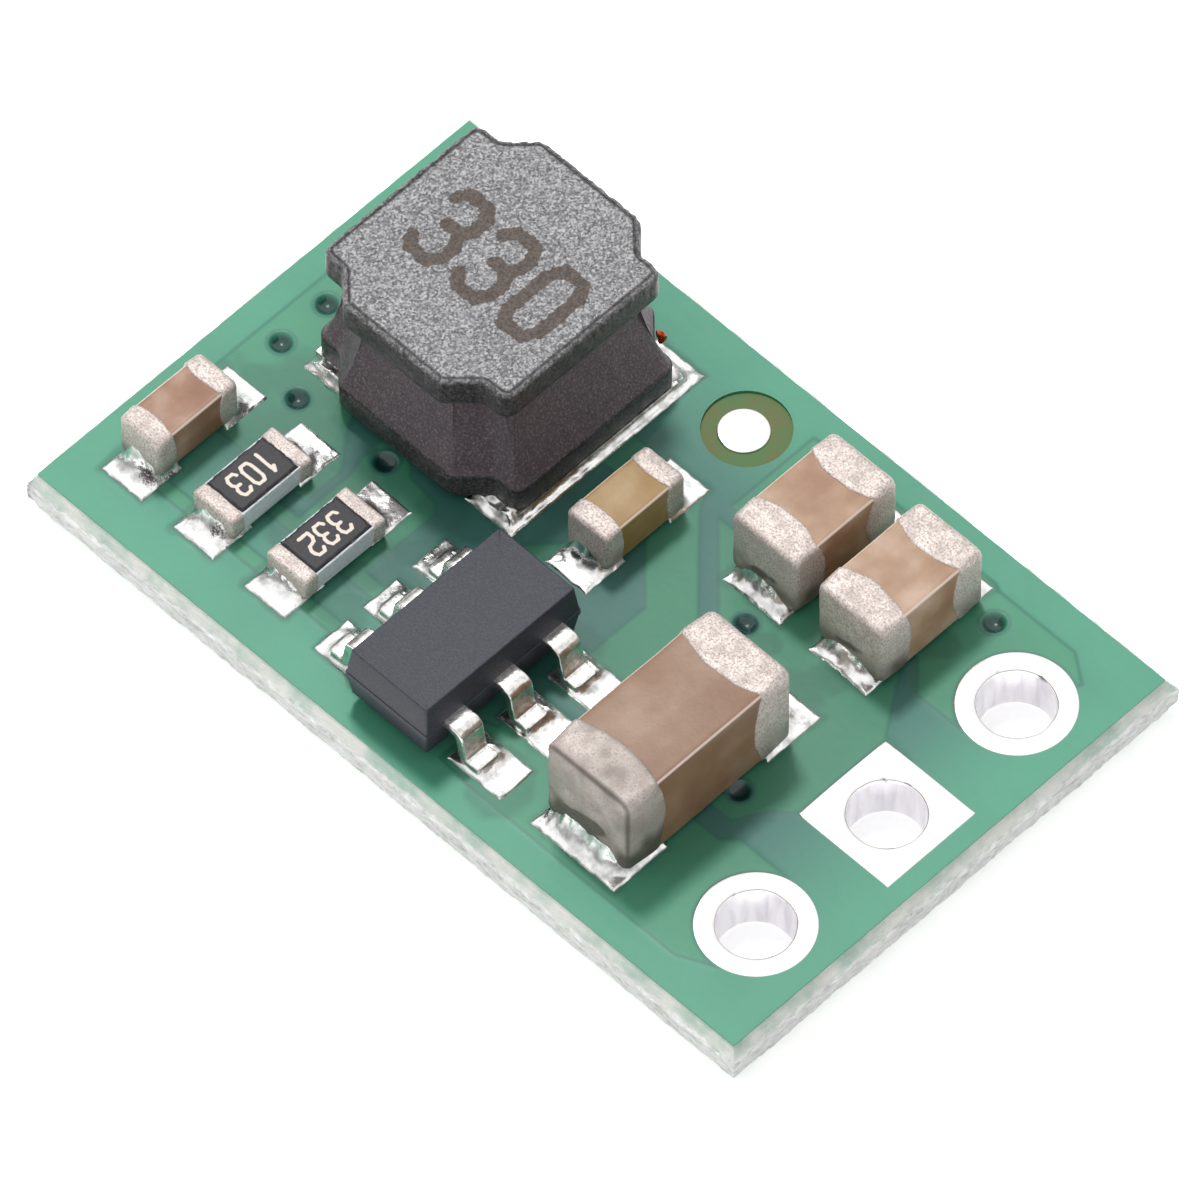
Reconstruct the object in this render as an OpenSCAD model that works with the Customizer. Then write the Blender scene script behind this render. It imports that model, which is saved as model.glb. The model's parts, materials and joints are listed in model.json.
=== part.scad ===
// Buck converter module: a small V-scored circuit board that carries a drum-core power inductor,
// a six-lead regulator, five ceramic chip capacitors and two chip resistors, with three plated
// pin holes on one end. The origin is the centre of the underside, +X runs towards the pin
// holes, +Y across the board and +Z up through the parts. All sizes are in millimetres.

/* [Board] */
// Length of the top face between the scored edges
board_l = 13.38; // [13.3:0.02:16]
// Width of the top face between the scored edges
board_w = 8.40; // [8.3:0.02:11]
// Finished thickness of the board, masks included
board_t = 0.80; // [0.6:0.1:1.6]
// Depth of each V-score
score_depth = 0.26; // [0.15:0.01:0.27]
// How far the snapped web stands out past the faces
score_run = 0.16; // [0.05:0.01:0.3]
// Thickness of each copper layer
copper_t = 0.035; // [0.018:0.001:0.07]
// Thickness of the solder mask where it covers copper
mask_t = 0.015; // [0.012:0.001:0.03]
// Gap between pours that belong to different nets
pour_gap = 0.24; // [0.15:0.01:0.3]
// Width of the narrow traces
trace_w = 0.23; // [0.15:0.01:0.3]

/* [Pin holes] */
// Pitch of the three pin holes
pin_pitch = 2.54; // [2.3:0.01:2.7]
// Bore of each plated pin hole
pin_bore_d = 1.12; // [0.8:0.02:1.3]
// Outside size of the pin rings, round or square
pin_ring_d = 1.72; // [1.5:0.02:2]
// Distance from the end of the top face to the row of pin holes
pin_inset = 1.16; // [1.05:0.02:1.6]
// Offset of the middle pin hole from the board's centre line
pin_row_y = -0.05; // [-0.2:0.01:0.2]
// Thickness of the plating on the barrel walls
plating_t = 0.03; // [0.02:0.005:0.05]
// Growth of the mask opening round each ring
ring_relief = 0.025; // [0.01:0.005:0.08]

/* [Vias and fiducial] */
// Clear drill of each via, inside its plating
via_bore_d = 0.36; // [0.2:0.01:0.4]
// Tinned dot of the fiducial
fiducial_d = 0.75; // [0.5:0.05:1]
// Round mask opening of the fiducial
fiducial_window_d = 1.29; // [1.1:0.01:1.5]

/* [Chip parts] */
// Length of the small capacitors
small_cap_l = 1.56; // [1.4:0.02:1.7]
// Width of the small capacitors
small_cap_w = 0.78; // [0.7:0.02:0.9]
// Height of the small capacitors
small_cap_h = 0.80; // [0.5:0.02:0.9]
// Length of the medium capacitors
medium_cap_l = 2.00; // [1.8:0.02:2.2]
// Width of the medium capacitors
medium_cap_w = 1.25; // [1.1:0.01:1.35]
// Height of the medium capacitors
medium_cap_h = 1.22; // [0.6:0.02:1.4]
// Length of the large capacitor
large_cap_l = 3.20; // [3:0.05:3.4]
// Width of the large capacitor
large_cap_w = 1.58; // [1.4:0.02:1.8]
// Height of the large capacitor
large_cap_h = 1.62; // [0.8:0.02:1.8]
// Length of the chip resistors
resistor_l = 1.56; // [1.4:0.02:1.7]
// Width of the chip resistors
resistor_w = 0.80; // [0.7:0.02:0.9]
// Height of the resistors' alumina base with its metal ends
resistor_h = 0.43; // [0.3:0.01:0.6]
// Thickness of the resistors' black overcoat
overcoat_t = 0.022; // [0.01:0.002:0.04]
// Thickness of the metal on the chip ends
end_metal_t = 0.02; // [0.01:0.005:0.04]
// Solder between a land and what stands on it
solder_gap = 0.05; // [0.02:0.01:0.08]
// Solder left on the bare part of a land
solder_skin = 0.03; // [0.02:0.01:0.08]

/* [Regulator] */
// Length of the moulded body at its parting line
regulator_l = 3.00; // [2.8:0.02:3.2]
// Width of the moulded body at its parting line
regulator_w = 1.58; // [1.4:0.02:1.8]
// Height of the moulded body alone
regulator_h = 1.01; // [0.8:0.01:1.2]
// Gap under the moulded body
regulator_standoff = 0.16; // [0.06:0.01:0.2]
// Span over the lead tips
lead_span = 2.86; // [2.7:0.02:3.1]
// Pitch of the leads
lead_pitch = 0.95; // [0.8:0.01:1]
// Width of each lead
lead_w = 0.42; // [0.3:0.01:0.5]
// Thickness of the leads
lead_t = 0.15; // [0.1:0.01:0.2]
// Flat foot of each lead, past its bend
foot_l = 0.19; // [0.1:0.01:0.3]

/* [Inductor] */
// Base flange along X
base_x = 3.92; // [3.6:0.02:4.1]
// Base flange along Y
base_y = 3.98; // [3.6:0.02:4.1]
// Top flange along X
top_x = 3.62; // [3.4:0.02:3.9]
// Top flange along Y
top_y = 3.91; // [3.4:0.01:3.95]
// Height of the inductor above its terminals' underside
inductor_h = 2.56; // [1.8:0.02:3.2]
// Thickness of the base flange
base_flange_t = 0.46; // [0.3:0.02:0.6]
// Thickness of the top flange
top_flange_t = 0.51; // [0.3:0.01:0.7]
// Diameter of the core's centre post
post_d = 1.90; // [1.4:0.05:2.2]
// Thickness of the terminals under the base flange
terminal_t = 0.12; // [0.05:0.01:0.2]
// Width of each terminal along X
terminal_w = 0.93; // [0.6:0.01:1.2]
// Depth of the corner notches along Y
notch_y = 0.42; // [0.3:0.01:0.5]
// Straight run of each corner lobe along X
lobe_x = 0.45; // [0.35:0.01:0.55]
// Wire of the winding
wire_d = 0.14; // [0.08:0.01:0.16]

/* [Hidden] */

// What belongs to an edge, such as the pin holes and the copper's margin, is placed from it.
function from_left(d) = -board_l / 2 + d;
function from_right(d) = board_l / 2 - d;
function from_front(d) = -board_w / 2 + d;
function from_back(d) = board_w / 2 - d;

// The layout of parts and pours was drawn on a board of this size, from its centre. On a
// larger or smaller board the places spread or close up, and the parts keep their sizes.
layout_l = 13.38;
layout_w = 8.40;
function lx(x) = x * board_l / layout_l;
function ly(y) = y * board_w / layout_w;
function at(x, y) = [lx(x), ly(y)];

// Layers of the board, from the underside up.
laminate_z0 = copper_t + mask_t;
laminate_z1 = board_t - laminate_z0;
land_z = board_t - mask_t;
mask_sink = 0.01; // how much lower the mask lies where no copper is under it
cut = 0.5; // how far a cutting tool runs past what it cuts

// Vias
via_d = via_bore_d + 2 * plating_t;
plug_depth = 0.15;
dimple_depth = 0.09;
dimple_mouth = via_bore_d / 2 - 0.005;
dimple_r = (dimple_mouth * dimple_mouth + dimple_depth * dimple_depth) / (2 * dimple_depth);
vias = [
    at(-5.875, 0.6), at(-5.87, -0.3),
    at(-5.035, -0.81), at(-3.43, -0.71),
    at(1.98, 0.84), at(3.84, -1.19),
    at(4.38, 3.24)
];

// Pin holes, counted from the back: output, ground, input
pin_x = from_right(pin_inset);
pin_y = [for (i = [1, 0, -1]) pin_row_y + i * pin_pitch];
barrel_d = pin_bore_d + 2 * plating_t;
ring_r = pin_ring_d / 2;

// The mask is printed a little off the copper, so bare laminate shows beside rings and dot.
mask_slip = [0.026, 0.04];
fiducial_at = at(-0.31, 3.134);

// Lands: where the pairs of lands are centred, and how far each part sits off that centre
small_land = [0.79, 0.79];
medium_land = [1.105, 0.86];
large_land = [1.615, 1.05];
small_toe = 0.445;
medium_toe = 0.255;
large_toe = 0.415;
feed_at = at(-5.735, -2.305);
boot_at = at(-0.31, 0.865);
output_a_at = at(1.775, 2.39);
output_b_at = at(3.43, 2.39);
input_at = at(2.997, -1.56);
resistor_a_at = at(-4.345, -2.29);
resistor_b_at = at(-2.957, -2.29);
regulator_at = at(-0.15, -2.31);
inductor_at = at(-3.345, 1.505);
feed_slip = [-0.043, -0.055];
boot_slip = [-0.01, -0.025];
output_a_slip = [0, -0.01];
output_b_slip = [-0.005, -0.02];
input_slip = [-0.012, -0.12];
resistor_a_slip = [0, -0.075];
resistor_b_slip = [0.037, -0.075];
regulator_slip = [-0.1, -0.08];
inductor_slip = [-0.045, -0.085];
regulator_land = [1.013, 0.68];
regulator_reach = lead_span + 0.733;
inductor_land = [0.93, 3.79];
inductor_reach = base_x + 0.15;

// Chip forms
small_band = 0.30;
medium_band = 0.46;
large_band = 0.60;
resistor_band = 0.25;
small_round = 0.09;
medium_round = 0.11;
large_round = 0.16;
part_z = land_z + solder_gap;

// Regulator forms
body_draft = 0.065; // how far the moulded sides lean in from the parting line
belt_h = 0.10; // flat belt at the parting line
parting_z = 0.465; // height of the parting line above the body's underside
lead_bend = 0.12; // bend radius of a lead at mid-thickness
lead_lean = 10; // how far the leads' legs lean from upright
body_z = board_t + regulator_standoff;
lead_z = body_z + parting_z;

// Inductor forms
lobe_round = 0.18;
edge_bevel = 0.05;
resin_lip = 0.02; // how far the resin stays inside the base flange
resin_inset = 0.12; // how far the resin stays inside the top flange
base_z = part_z + terminal_t;
base_top_z = base_z + base_flange_t;
inductor_top_z = part_z + inductor_h;
top_flange_z = inductor_top_z - top_flange_t;
winding_clear = 0.04;
winding_r = min(top_x, top_y) / 2 - 0.32;

// Outlines -------------------------------------------------------------------------------

// A rectangle centred on the origin whose corners are arcs of radius r
function round_rect(w, h, r, steps = 4) = [
    for (c = [0 : 3], i = [0 : steps])
        let (a = 90 * c + 90 * i / steps, sx = (c == 0 || c == 3) ? 1 : -1, sy = c < 2 ? 1 : -1)
        [sx * (w / 2 - r) + r * cos(a), sy * (h / 2 - r) + r * sin(a)]
];

// Points along an arc
function arc(c, r, a0, a1, steps = 4) = [
    for (i = [0 : steps]) let (a = a0 + (a1 - a0) * i / steps) c + r * [cos(a), sin(a)]
];

function backwards(p) = [for (i = [len(p) - 1 : -1 : 0]) p[i]];
function flip(p, sx, sy) = [for (q = p) [sx * q.x, sy * q.y]];

// The inductor flange: a square whose corners step back to a narrow lobe on the X sides
function flange_corner(x, y) = concat(
    arc([x / 2 - lobe_round, y / 2 - notch_y - lobe_round], lobe_round, 0, 90),
    [[x / 2 - lobe_x, y / 2 - notch_y], [x / 2 - lobe_x - notch_y, y / 2]]
);
function flange_outline(x, y) = let (c = flange_corner(x, y)) concat(
    c, backwards(flip(c, -1, 1)), flip(c, -1, -1), backwards(flip(c, 1, -1))
);

// A ribbon of thickness t along a path
function along(p, i) = let (d = p[min(i + 1, len(p) - 1)] - p[max(i - 1, 0)]) d / norm(d);
function ribbon(p, t) = concat(
    [for (i = [0 : len(p) - 1]) p[i] + t / 2 * [-along(p, i).y, along(p, i).x]],
    [for (i = [len(p) - 1 : -1 : 0]) p[i] - t / 2 * [-along(p, i).y, along(p, i).x]]
);

// A solder fillet seen from the side: it climbs from the land's edge to the metal end.
// The origin is the land's surface under the end, and toe is how far the land reaches past it.
fillet_steps = 6;
function fillet(toe, rise, under) = concat(
    [[-under, 0], [toe, 0]],
    [for (i = [0 : fillet_steps])
        let (s = i / fillet_steps) [toe * (1 - s), solder_skin + (rise - solder_skin) * pow(s, 2.4)]],
    [[-under, rise]]
);

// Shared solids --------------------------------------------------------------------------

// Extrude an outline of [x, z] points along Y, centred
module along_y(l) {
    rotate([90, 0, 0])
        linear_extrude(l, center = true)
            children();
}

// Extrude an outline of [y, z] points along X, centred
module along_x(l) {
    rotate([90, 0, 90])
        linear_extrude(l, center = true)
            children();
}

// A block on the XY plane with all of its edges rounded
module rounded_block(w, l, h, r) {
    intersection() {
        linear_extrude(h)
            polygon(round_rect(w, l, r));
        translate([0, 0, h / 2])
            along_y(l + cut)
                polygon(round_rect(w, h, r));
        translate([0, 0, h / 2])
            along_x(w + cut)
                polygon(round_rect(l, h, r));
    }
}

// One rectangular area with its corner at the smaller x and y
module area(x0, y0, x1, y1) {
    translate([x0, y0])
        square([x1 - x0, y1 - y0]);
}

module land_pair(at, land, reach) {
    for (s = [-1, 1])
        translate([at.x, at.y + s * (reach - land.y) / 2])
            square(land, center = true);
}

module chip_lands() {
    land_pair(feed_at, small_land, small_cap_l + 2 * small_toe);
    land_pair(boot_at, small_land, small_cap_l + 2 * small_toe);
    land_pair(output_a_at, medium_land, medium_cap_l + 2 * medium_toe);
    land_pair(output_b_at, medium_land, medium_cap_l + 2 * medium_toe);
    land_pair(input_at, large_land, large_cap_l + 2 * large_toe);
    land_pair(resistor_a_at, small_land, resistor_l + 2 * small_toe + 0.04);
    land_pair(resistor_b_at, small_land, resistor_l + 2 * small_toe + 0.04);
}

module regulator_lands() {
    for (s = [-1, 1], i = [-1 : 1])
        translate([regulator_at.x + s * (regulator_reach - regulator_land.x) / 2,
            regulator_at.y + i * lead_pitch])
            square(regulator_land, center = true);
}

module inductor_lands() {
    for (s = [-1, 1])
        translate([inductor_at.x + s * (inductor_reach - inductor_land.x) / 2, inductor_at.y])
            square(inductor_land, center = true);
}

module all_lands() {
    chip_lands();
    regulator_lands();
    inductor_lands();
}

module at_pin(i) {
    translate([pin_x, pin_y[i]])
        children();
}

// The ring of pin hole i: the ground ring is square and the others are round
module ring_outline(i, grow = 0) {
    at_pin(i)
        if (i == 1)
            square(pin_ring_d + 2 * grow, center = true);
        else
            circle(d = pin_ring_d + 2 * grow, $fn = 64);
}

module via_holes(d) {
    for (v = vias)
        translate(v)
            circle(d = d, $fn = 24);
}

// Board ----------------------------------------------------------------------------------

module scored_edge(half) {
    polygon([
        [-half, laminate_z0], [half, laminate_z0],
        [half + score_run, score_depth], [half + score_run, board_t - score_depth],
        [half, laminate_z1], [-half, laminate_z1],
        [-half - score_run, board_t - score_depth], [-half - score_run, score_depth]
    ]);
}

module scored_laminate() {
    color("#8f9a63")
    difference() {
        intersection() {
            along_y(board_w + 2 * score_run + cut)
                scored_edge(board_l / 2);
            along_x(board_l + 2 * score_run + cut)
                scored_edge(board_w / 2);
        }
        for (i = [0 : 2])
            at_pin(i)
                translate([0, 0, -cut])
                    cylinder(d = barrel_d, h = board_t + 2 * cut, $fn = 48);
        translate([0, 0, -cut])
            linear_extrude(board_t + 2 * cut)
                via_holes(via_d);
    }
}

edge_clear = 0.44; // bare margin between the copper and the board's edges

// Output net under the inductor's left land, the feed capacitor and the first resistor
module output_pour_left() {
    polygon([
        [from_left(edge_clear), ly(-1.95)], at(-3.75, -1.95),
        at(-3.75, -1.25), at(-4.15, -0.75),
        at(-4.29, -0.5), at(-4.29, 3.5),
        [from_left(edge_clear), ly(3.5)]
    ]);
}

// Switching net: the inductor's right land, the boot capacitor and the regulator's first lead
module switch_pour() {
    polygon([
        at(-1.69, 1.38), at(-0.31, 1.38),
        at(0.11, 0.76), at(0.81, 0.07),
        at(0.81, -1.75), at(1.89, -1.75),
        at(1.89, 0), at(1.37, 0.53),
        at(0.2, 1.75), at(0.08, 2),
        at(-1.69, 2)
    ]);
}

// Output net at the far end of the two output capacitors, out to its pin hole
module output_pour_right() {
    polygon([
        at(0.47, 2.08), at(4.05, 2.08),
        [lx(4.45), pin_y[0] - ring_r + 0.02], [pin_x, pin_y[0] - ring_r + 0.02],
        [pin_x, pin_y[0]], [from_right(pin_inset - 0.42), ly(3.34)],
        [from_right(pin_inset + 0.02), ly(3.66)], at(4.04, 3.66),
        at(3.94, 3.72), at(0.47, 3.72)
    ]);
}

// Ground net: near ends of the output capacitors, far end of the input capacitor, middle pin
module ground_pour_right() {
    polygon([
        [lx(0.47), ly(2.08) - pour_gap], at(1.55, 0.75),
        at(2.13, 0.15), at(2.13, -1.62),
        at(4.1, -1.62), at(4.4, -1.1),
        [pin_x - ring_r - 0.03, pin_y[1] - ring_r], [pin_x, pin_y[1] - ring_r + 0.02],
        [pin_x, pin_y[1] + ring_r - 0.02], [pin_x - ring_r - 0.03, pin_y[1] + ring_r + 0.03],
        [lx(3.97), ly(2.08) - pour_gap]
    ]);
}

// Input net: near end of the input capacitor, two regulator leads and the input pin
module input_pour() {
    polygon([
        at(0.56, -3.66), at(1.21, -3.72),
        at(5.09, -3.72), [from_right(pin_inset - 0.22), ly(-3.4)],
        [pin_x, pin_y[2]], [pin_x, pin_y[2] + ring_r - 0.02],
        [lx(4.42), pin_y[2] + ring_r - 0.02], at(4.2, -1.95),
        at(1.21, -1.95), at(0.91, -2.1),
        at(0.76, -2.75), at(0.56, -2.82)
    ]);
}

// Ground net on the left: second resistor, its via and the regulator's middle lead
module ground_pour_left() {
    polygon([
        at(-4.29, -2.45), at(-0.99, -2.45),
        at(-0.99, -2.2), at(-2.33, -2.2),
        at(-2.33, -0.85), at(-2.45, -0.72),
        at(-3, -0.66), at(-3.3, -0.32),
        at(-3.73, -0.45), at(-3.71, -0.85),
        at(-3.62, -1.2), at(-3.62, -2.2),
        at(-4.29, -2.2)
    ]);
}

// Feedback trace that joins the near lands of the capacitor and resistors to the regulator
module feedback_trace() {
    area(feed_at.x, ly(-3.25), regulator_at.x - 1.2, ly(-3.25) + trace_w);
}

// Trace from the boot capacitor's near land, under the regulator, to its first left lead
module boot_trace() {
    polygon([
        at(-1.34, -1.3), at(-1.04, -1.3),
        at(-1.04, -0.65), at(-0.59, -0.3),
        at(-0.59, 0.05), at(-0.74, 0.05),
        at(-1.34, -0.65)
    ]);
}

module ring_lands(grow = 0) {
    for (i = [0 : 2])
        ring_outline(i, grow);
}

// Everything the mask covers at full height: the copper, with its vias filled in
module covered_outline() {
    difference() {
        union() {
            output_pour_left();
            switch_pour();
            output_pour_right();
            ground_pour_right();
            input_pour();
            ground_pour_left();
            feedback_trace();
            boot_trace();
            all_lands();
        }
        ring_lands();
    }
}

module top_copper_outline() {
    difference() {
        covered_outline();
        via_holes(via_d);
    }
}

module top_copper() {
    color("#c98a5a")
    translate([0, 0, laminate_z1])
        linear_extrude(copper_t)
            top_copper_outline();
}

// The underside is split between two nets, halfway between the middle and the output pin holes
module bottom_copper_outline() {
    split_y = pin_row_y + pin_pitch / 2;
    difference() {
        union() {
            // output net: up the left side and along the back to its pin hole
            area(from_left(edge_clear), ly(-1.3), lx(-4.4), from_back(edge_clear));
            area(from_left(edge_clear), split_y + pour_gap / 2, pin_x, from_back(edge_clear));
            // ground net: the rest
            area(from_left(edge_clear), from_front(edge_clear), from_right(edge_clear),
                ly(-1.3) - pour_gap);
            area(lx(-4.4) + pour_gap, from_front(edge_clear), from_right(edge_clear),
                split_y - pour_gap / 2);
        }
        ring_lands();
        ring_outline(2, pour_gap);
        via_holes(via_d);
    }
}

module bottom_copper() {
    color("#c98a5a")
    translate([0, 0, mask_t])
        linear_extrude(copper_t)
            bottom_copper_outline();
}

module mask_windows() {
    ring_lands();
    translate(mask_slip)
        ring_lands(ring_relief);
    translate(fiducial_at + mask_slip)
        circle(d = fiducial_window_d, $fn = 64);
    all_lands();
}

// The mask fills the bare areas, covers the copper and sinks a little into each via.
module top_solder_mask() {
    color("#2f9a6c")
    difference() {
        union() {
            translate([0, 0, laminate_z1])
                linear_extrude(laminate_z0 - mask_sink)
                    square([board_l, board_w], center = true);
            translate([0, 0, land_z])
                linear_extrude(mask_t)
                    covered_outline();
            for (v = vias)
                translate([v.x, v.y, laminate_z1 - plug_depth])
                    cylinder(d = via_bore_d, h = plug_depth + copper_t, $fn = 24);
        }
        translate([0, 0, laminate_z1])
            linear_extrude(copper_t)
                top_copper_outline();
        translate([0, 0, laminate_z1 - cut])
            linear_extrude(2 * cut)
                mask_windows();
        translate([0, 0, laminate_z1])
            linear_extrude(copper_t)
                difference() {
                    via_holes(via_d);
                    via_holes(via_bore_d);
                }
        for (v = vias)
            translate([v.x, v.y, board_t + dimple_r - dimple_depth])
                sphere(r = dimple_r, $fn = 24);
    }
}

module bottom_solder_mask() {
    color("#2f9a6c")
    difference() {
        linear_extrude(laminate_z0)
            square([board_l, board_w], center = true);
        translate([0, 0, mask_t])
            linear_extrude(cut)
                bottom_copper_outline();
        translate([0, 0, -cut])
            linear_extrude(2 * cut) {
                ring_lands();
                translate(mask_slip)
                    ring_lands(ring_relief);
            }
        translate([0, 0, mask_t])
            linear_extrude(cut)
                via_holes(via_d);
    }
}

module via_barrels() {
    color("#b87a4a")
    translate([0, 0, mask_t])
        linear_extrude(board_t - 2 * mask_t)
            difference() {
                via_holes(via_d);
                via_holes(via_bore_d);
            }
}

module fiducial_dot() {
    color("#e8e6e0")
    translate([fiducial_at.x, fiducial_at.y, laminate_z1])
        cylinder(d = fiducial_d, h = copper_t, $fn = 64);
}

// Plated hole: a barrel through the board with a tinned ring on each face
module pin_hole(i) {
    color("#e8e6e0")
    difference() {
        union() {
            at_pin(i)
                cylinder(d = barrel_d, h = board_t, $fn = 48);
            linear_extrude(laminate_z0)
                ring_outline(i);
            translate([0, 0, laminate_z1])
                linear_extrude(laminate_z0)
                    ring_outline(i);
        }
        at_pin(i)
            translate([0, 0, -cut])
                cylinder(d = pin_bore_d, h = board_t + 2 * cut, $fn = 48);
    }
}

module pin_hole_output() {
    pin_hole(0);
}

module pin_hole_ground() {
    pin_hole(1);
}

module pin_hole_input() {
    pin_hole(2);
}

// Inductor -------------------------------------------------------------------------------

module at_inductor(z = 0) {
    translate([inductor_at.x + inductor_slip.x, inductor_at.y + inductor_slip.y, z])
        children();
}

// Distance from the axis to the flanges' 45 degree chamfers, from their half sizes
function chamfer_reach(x, y) = (x + y - lobe_x - notch_y) / sqrt(2);

// A side view, symmetric about the axis, from its half widths and heights
function side_view(w, z) = concat(
    [for (i = [0 : len(w) - 1]) [w[i], z[i]]],
    [for (i = [len(w) - 1 : -1 : 0]) [-w[i], z[i]]]
);

// A block with the flanges' outline, whose half sizes x and y change with height z. It is
// joined from one block as wide as the corner lobes and a deeper one with its corners cut
// at 45 degrees.
module flange_block(x, y, z) {
    lobe = [for (v = y) v - notch_y];
    chamfer = [for (i = [0 : len(z) - 1]) chamfer_reach(x[i], y[i])];
    intersection() {
        along_y(2 * base_y)
            polygon(side_view(x, z));
        along_x(2 * base_x)
            polygon(side_view(lobe, z));
    }
    intersection() {
        along_y(2 * base_y)
            polygon(side_view(x, z));
        along_x(2 * base_x)
            polygon(side_view(y, z));
        rotate(45)
            along_y(2 * base_y)
                polygon(side_view(chamfer, z));
        rotate(-45)
            along_y(2 * base_y)
                polygon(side_view(chamfer, z));
    }
}

// The top flange is bevelled round its upper edge: its sides lean in 45 degrees at the bevel.
module top_flange() {
    low = top_flange_t - edge_bevel;
    intersection() {
        linear_extrude(top_flange_t)
            polygon(flange_outline(top_x, top_y));
        flange_block([top_x / 2 + low, top_x / 2 - edge_bevel], [top_y / 2 + low, top_y / 2 - edge_bevel],
            [0, top_flange_t]);
    }
}

module inductor_core() {
    color("#55565a")
    at_inductor() {
        translate([0, 0, base_z])
            linear_extrude(base_flange_t)
                polygon(flange_outline(base_x, base_y));
        translate([0, 0, base_top_z - edge_bevel])
            cylinder(d = post_d, h = top_flange_z - base_top_z + 2 * edge_bevel, $fn = 48);
        translate([0, 0, top_flange_z])
            top_flange();
    }
}

wire_at = [base_x / 2 - lobe_x + wire_d / 2 + 0.02, base_y / 2 - notch_y + wire_d / 2 + 0.04];
wire_exit_z = base_top_z + 0.22;
winding_z0 = base_top_z + winding_clear;
winding_z1 = top_flange_z - winding_clear;

// The turns as one annular pack, and a wire end down each of the two far corner notches
module winding_solid() {
    at_inductor() {
        translate([0, 0, winding_z0])
            difference() {
                cylinder(r = winding_r, h = winding_z1 - winding_z0, $fn = 48);
                translate([0, 0, -cut])
                    cylinder(d = post_d, h = inductor_h, $fn = 48);
            }
        for (m = [0, 1])
            mirror([m, 0, 0])
                wire_end();
    }
}

// Wire from the pack out to the notch, then down to the land
module wire_end() {
    turn = atan2(wire_at.y, wire_at.x);
    start = winding_r - wire_d;
    rotate(turn)
        translate([start, 0, wire_exit_z])
            rotate([0, 90, 0])
                cylinder(d = wire_d, h = norm(wire_at) - start, $fn = 16);
    translate([wire_at.x, wire_at.y, wire_exit_z])
        sphere(d = wire_d, $fn = 16);
    translate([wire_at.x, wire_at.y, land_z])
        cylinder(d = wire_d, h = wire_exit_z - land_z, $fn = 16);
}

module inductor_winding() {
    color("#b5562c")
        winding_solid();
}

// Resin between the flanges: rows of [height share, inset] from its flared foot to its neck
resin_rows = [[0, resin_lip], [0.08, resin_lip + 0.05], [0.32, resin_inset - 0.02], [0.6, resin_inset],
    [1, resin_inset]];
function resin_z(row) = base_top_z + row[0] * (top_flange_z - base_top_z);
function resin_x(row) = (base_x + (top_x - base_x) * row[0]) / 2 - row[1];
function resin_y(row) = (base_y + (top_y - base_y) * row[0]) / 2 - row[1];

module inductor_resin() {
    color("#4a4248")
    difference() {
        at_inductor()
            flange_block([for (r = resin_rows) resin_x(r)], [for (r = resin_rows) resin_y(r)],
                [for (r = resin_rows) resin_z(r)]);
        winding_solid();
        at_inductor(base_top_z - cut)
            cylinder(d = post_d, h = inductor_h, $fn = 48);
    }
}

// side is -1 for the left terminal and 1 for the right one
module terminal(side) {
    color("#cfcdc8")
    at_inductor(part_z)
        linear_extrude(terminal_t)
            translate([side * (base_x - terminal_w) / 2, 0])
                square([terminal_w, base_y - 2 * notch_y - 0.02], center = true);
}

module inductor_terminal_left() {
    terminal(-1);
}

module inductor_terminal_right() {
    terminal(1);
}

// Solder under and round each terminal, with a bead up the outer side of the right one
module inductor_solder() {
    outer = inductor_reach / 2 - (base_x / 2 + inductor_slip.x);
    color("#d6d5d2")
    difference() {
        union() {
            translate([0, 0, land_z])
                linear_extrude(solder_gap)
                    inductor_lands();
            translate([inductor_at.x + inductor_reach / 2 - outer, inductor_at.y, land_z])
                along_y(inductor_land.y)
                    polygon(fillet(outer, solder_gap + terminal_t + 0.05, 0.01));
        }
        inductor_terminal_left();
        inductor_terminal_right();
        inductor_core();
        winding_solid();
    }
}

// Regulator ------------------------------------------------------------------------------

module at_regulator(z = 0) {
    translate([regulator_at.x + regulator_slip.x, regulator_at.y + regulator_slip.y, z])
        children();
}

// Side view of the moulded body: both halves lean in from a flat belt
module body_profile(w) {
    half = w / 2;
    polygon([
        [-half + body_draft, 0], [half - body_draft, 0],
        [half, parting_z - belt_h / 2], [half, parting_z + belt_h / 2],
        [half - body_draft, regulator_h], [-half + body_draft, regulator_h],
        [-half, parting_z + belt_h / 2], [-half, parting_z - belt_h / 2]
    ]);
}

// Gull-wing lead, from inside the body out over its bend and down to its foot
module lead() {
    foot_z = land_z + solder_gap + lead_t / 2;
    leg_x0 = lead_span / 2 - foot_l;
    drop = lead_z - foot_z - 2 * lead_bend * (1 - sin(lead_lean));
    shoulder_x = leg_x0 - 2 * lead_bend * cos(lead_lean) - drop * tan(lead_lean);
    path = concat(
        [[regulator_w / 2 - 0.25, lead_z]],
        backwards(arc([shoulder_x, lead_z - lead_bend], lead_bend, lead_lean, 90)),
        arc([leg_x0, foot_z + lead_bend], lead_bend, 180 + lead_lean, 270),
        [[lead_span / 2, foot_z]]
    );
    along_y(lead_w)
        polygon(ribbon(path, lead_t));
}

// side is -1 for the left row and 1 for the right row
module lead_row(side) {
    at_regulator()
        for (i = [-1 : 1])
            translate([0, i * lead_pitch, 0])
                mirror([side < 0 ? 1 : 0, 0, 0])
                    lead();
}

module regulator_body() {
    color("#3d3d42")
    difference() {
        at_regulator(body_z)
            intersection() {
                along_y(regulator_l + cut)
                    body_profile(regulator_w);
                along_x(regulator_w + cut)
                    body_profile(regulator_l);
            }
        lead_row(-1);
        lead_row(1);
    }
}

module regulator_leads_left() {
    color("#d9d6d0")
        lead_row(-1);
}

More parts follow.
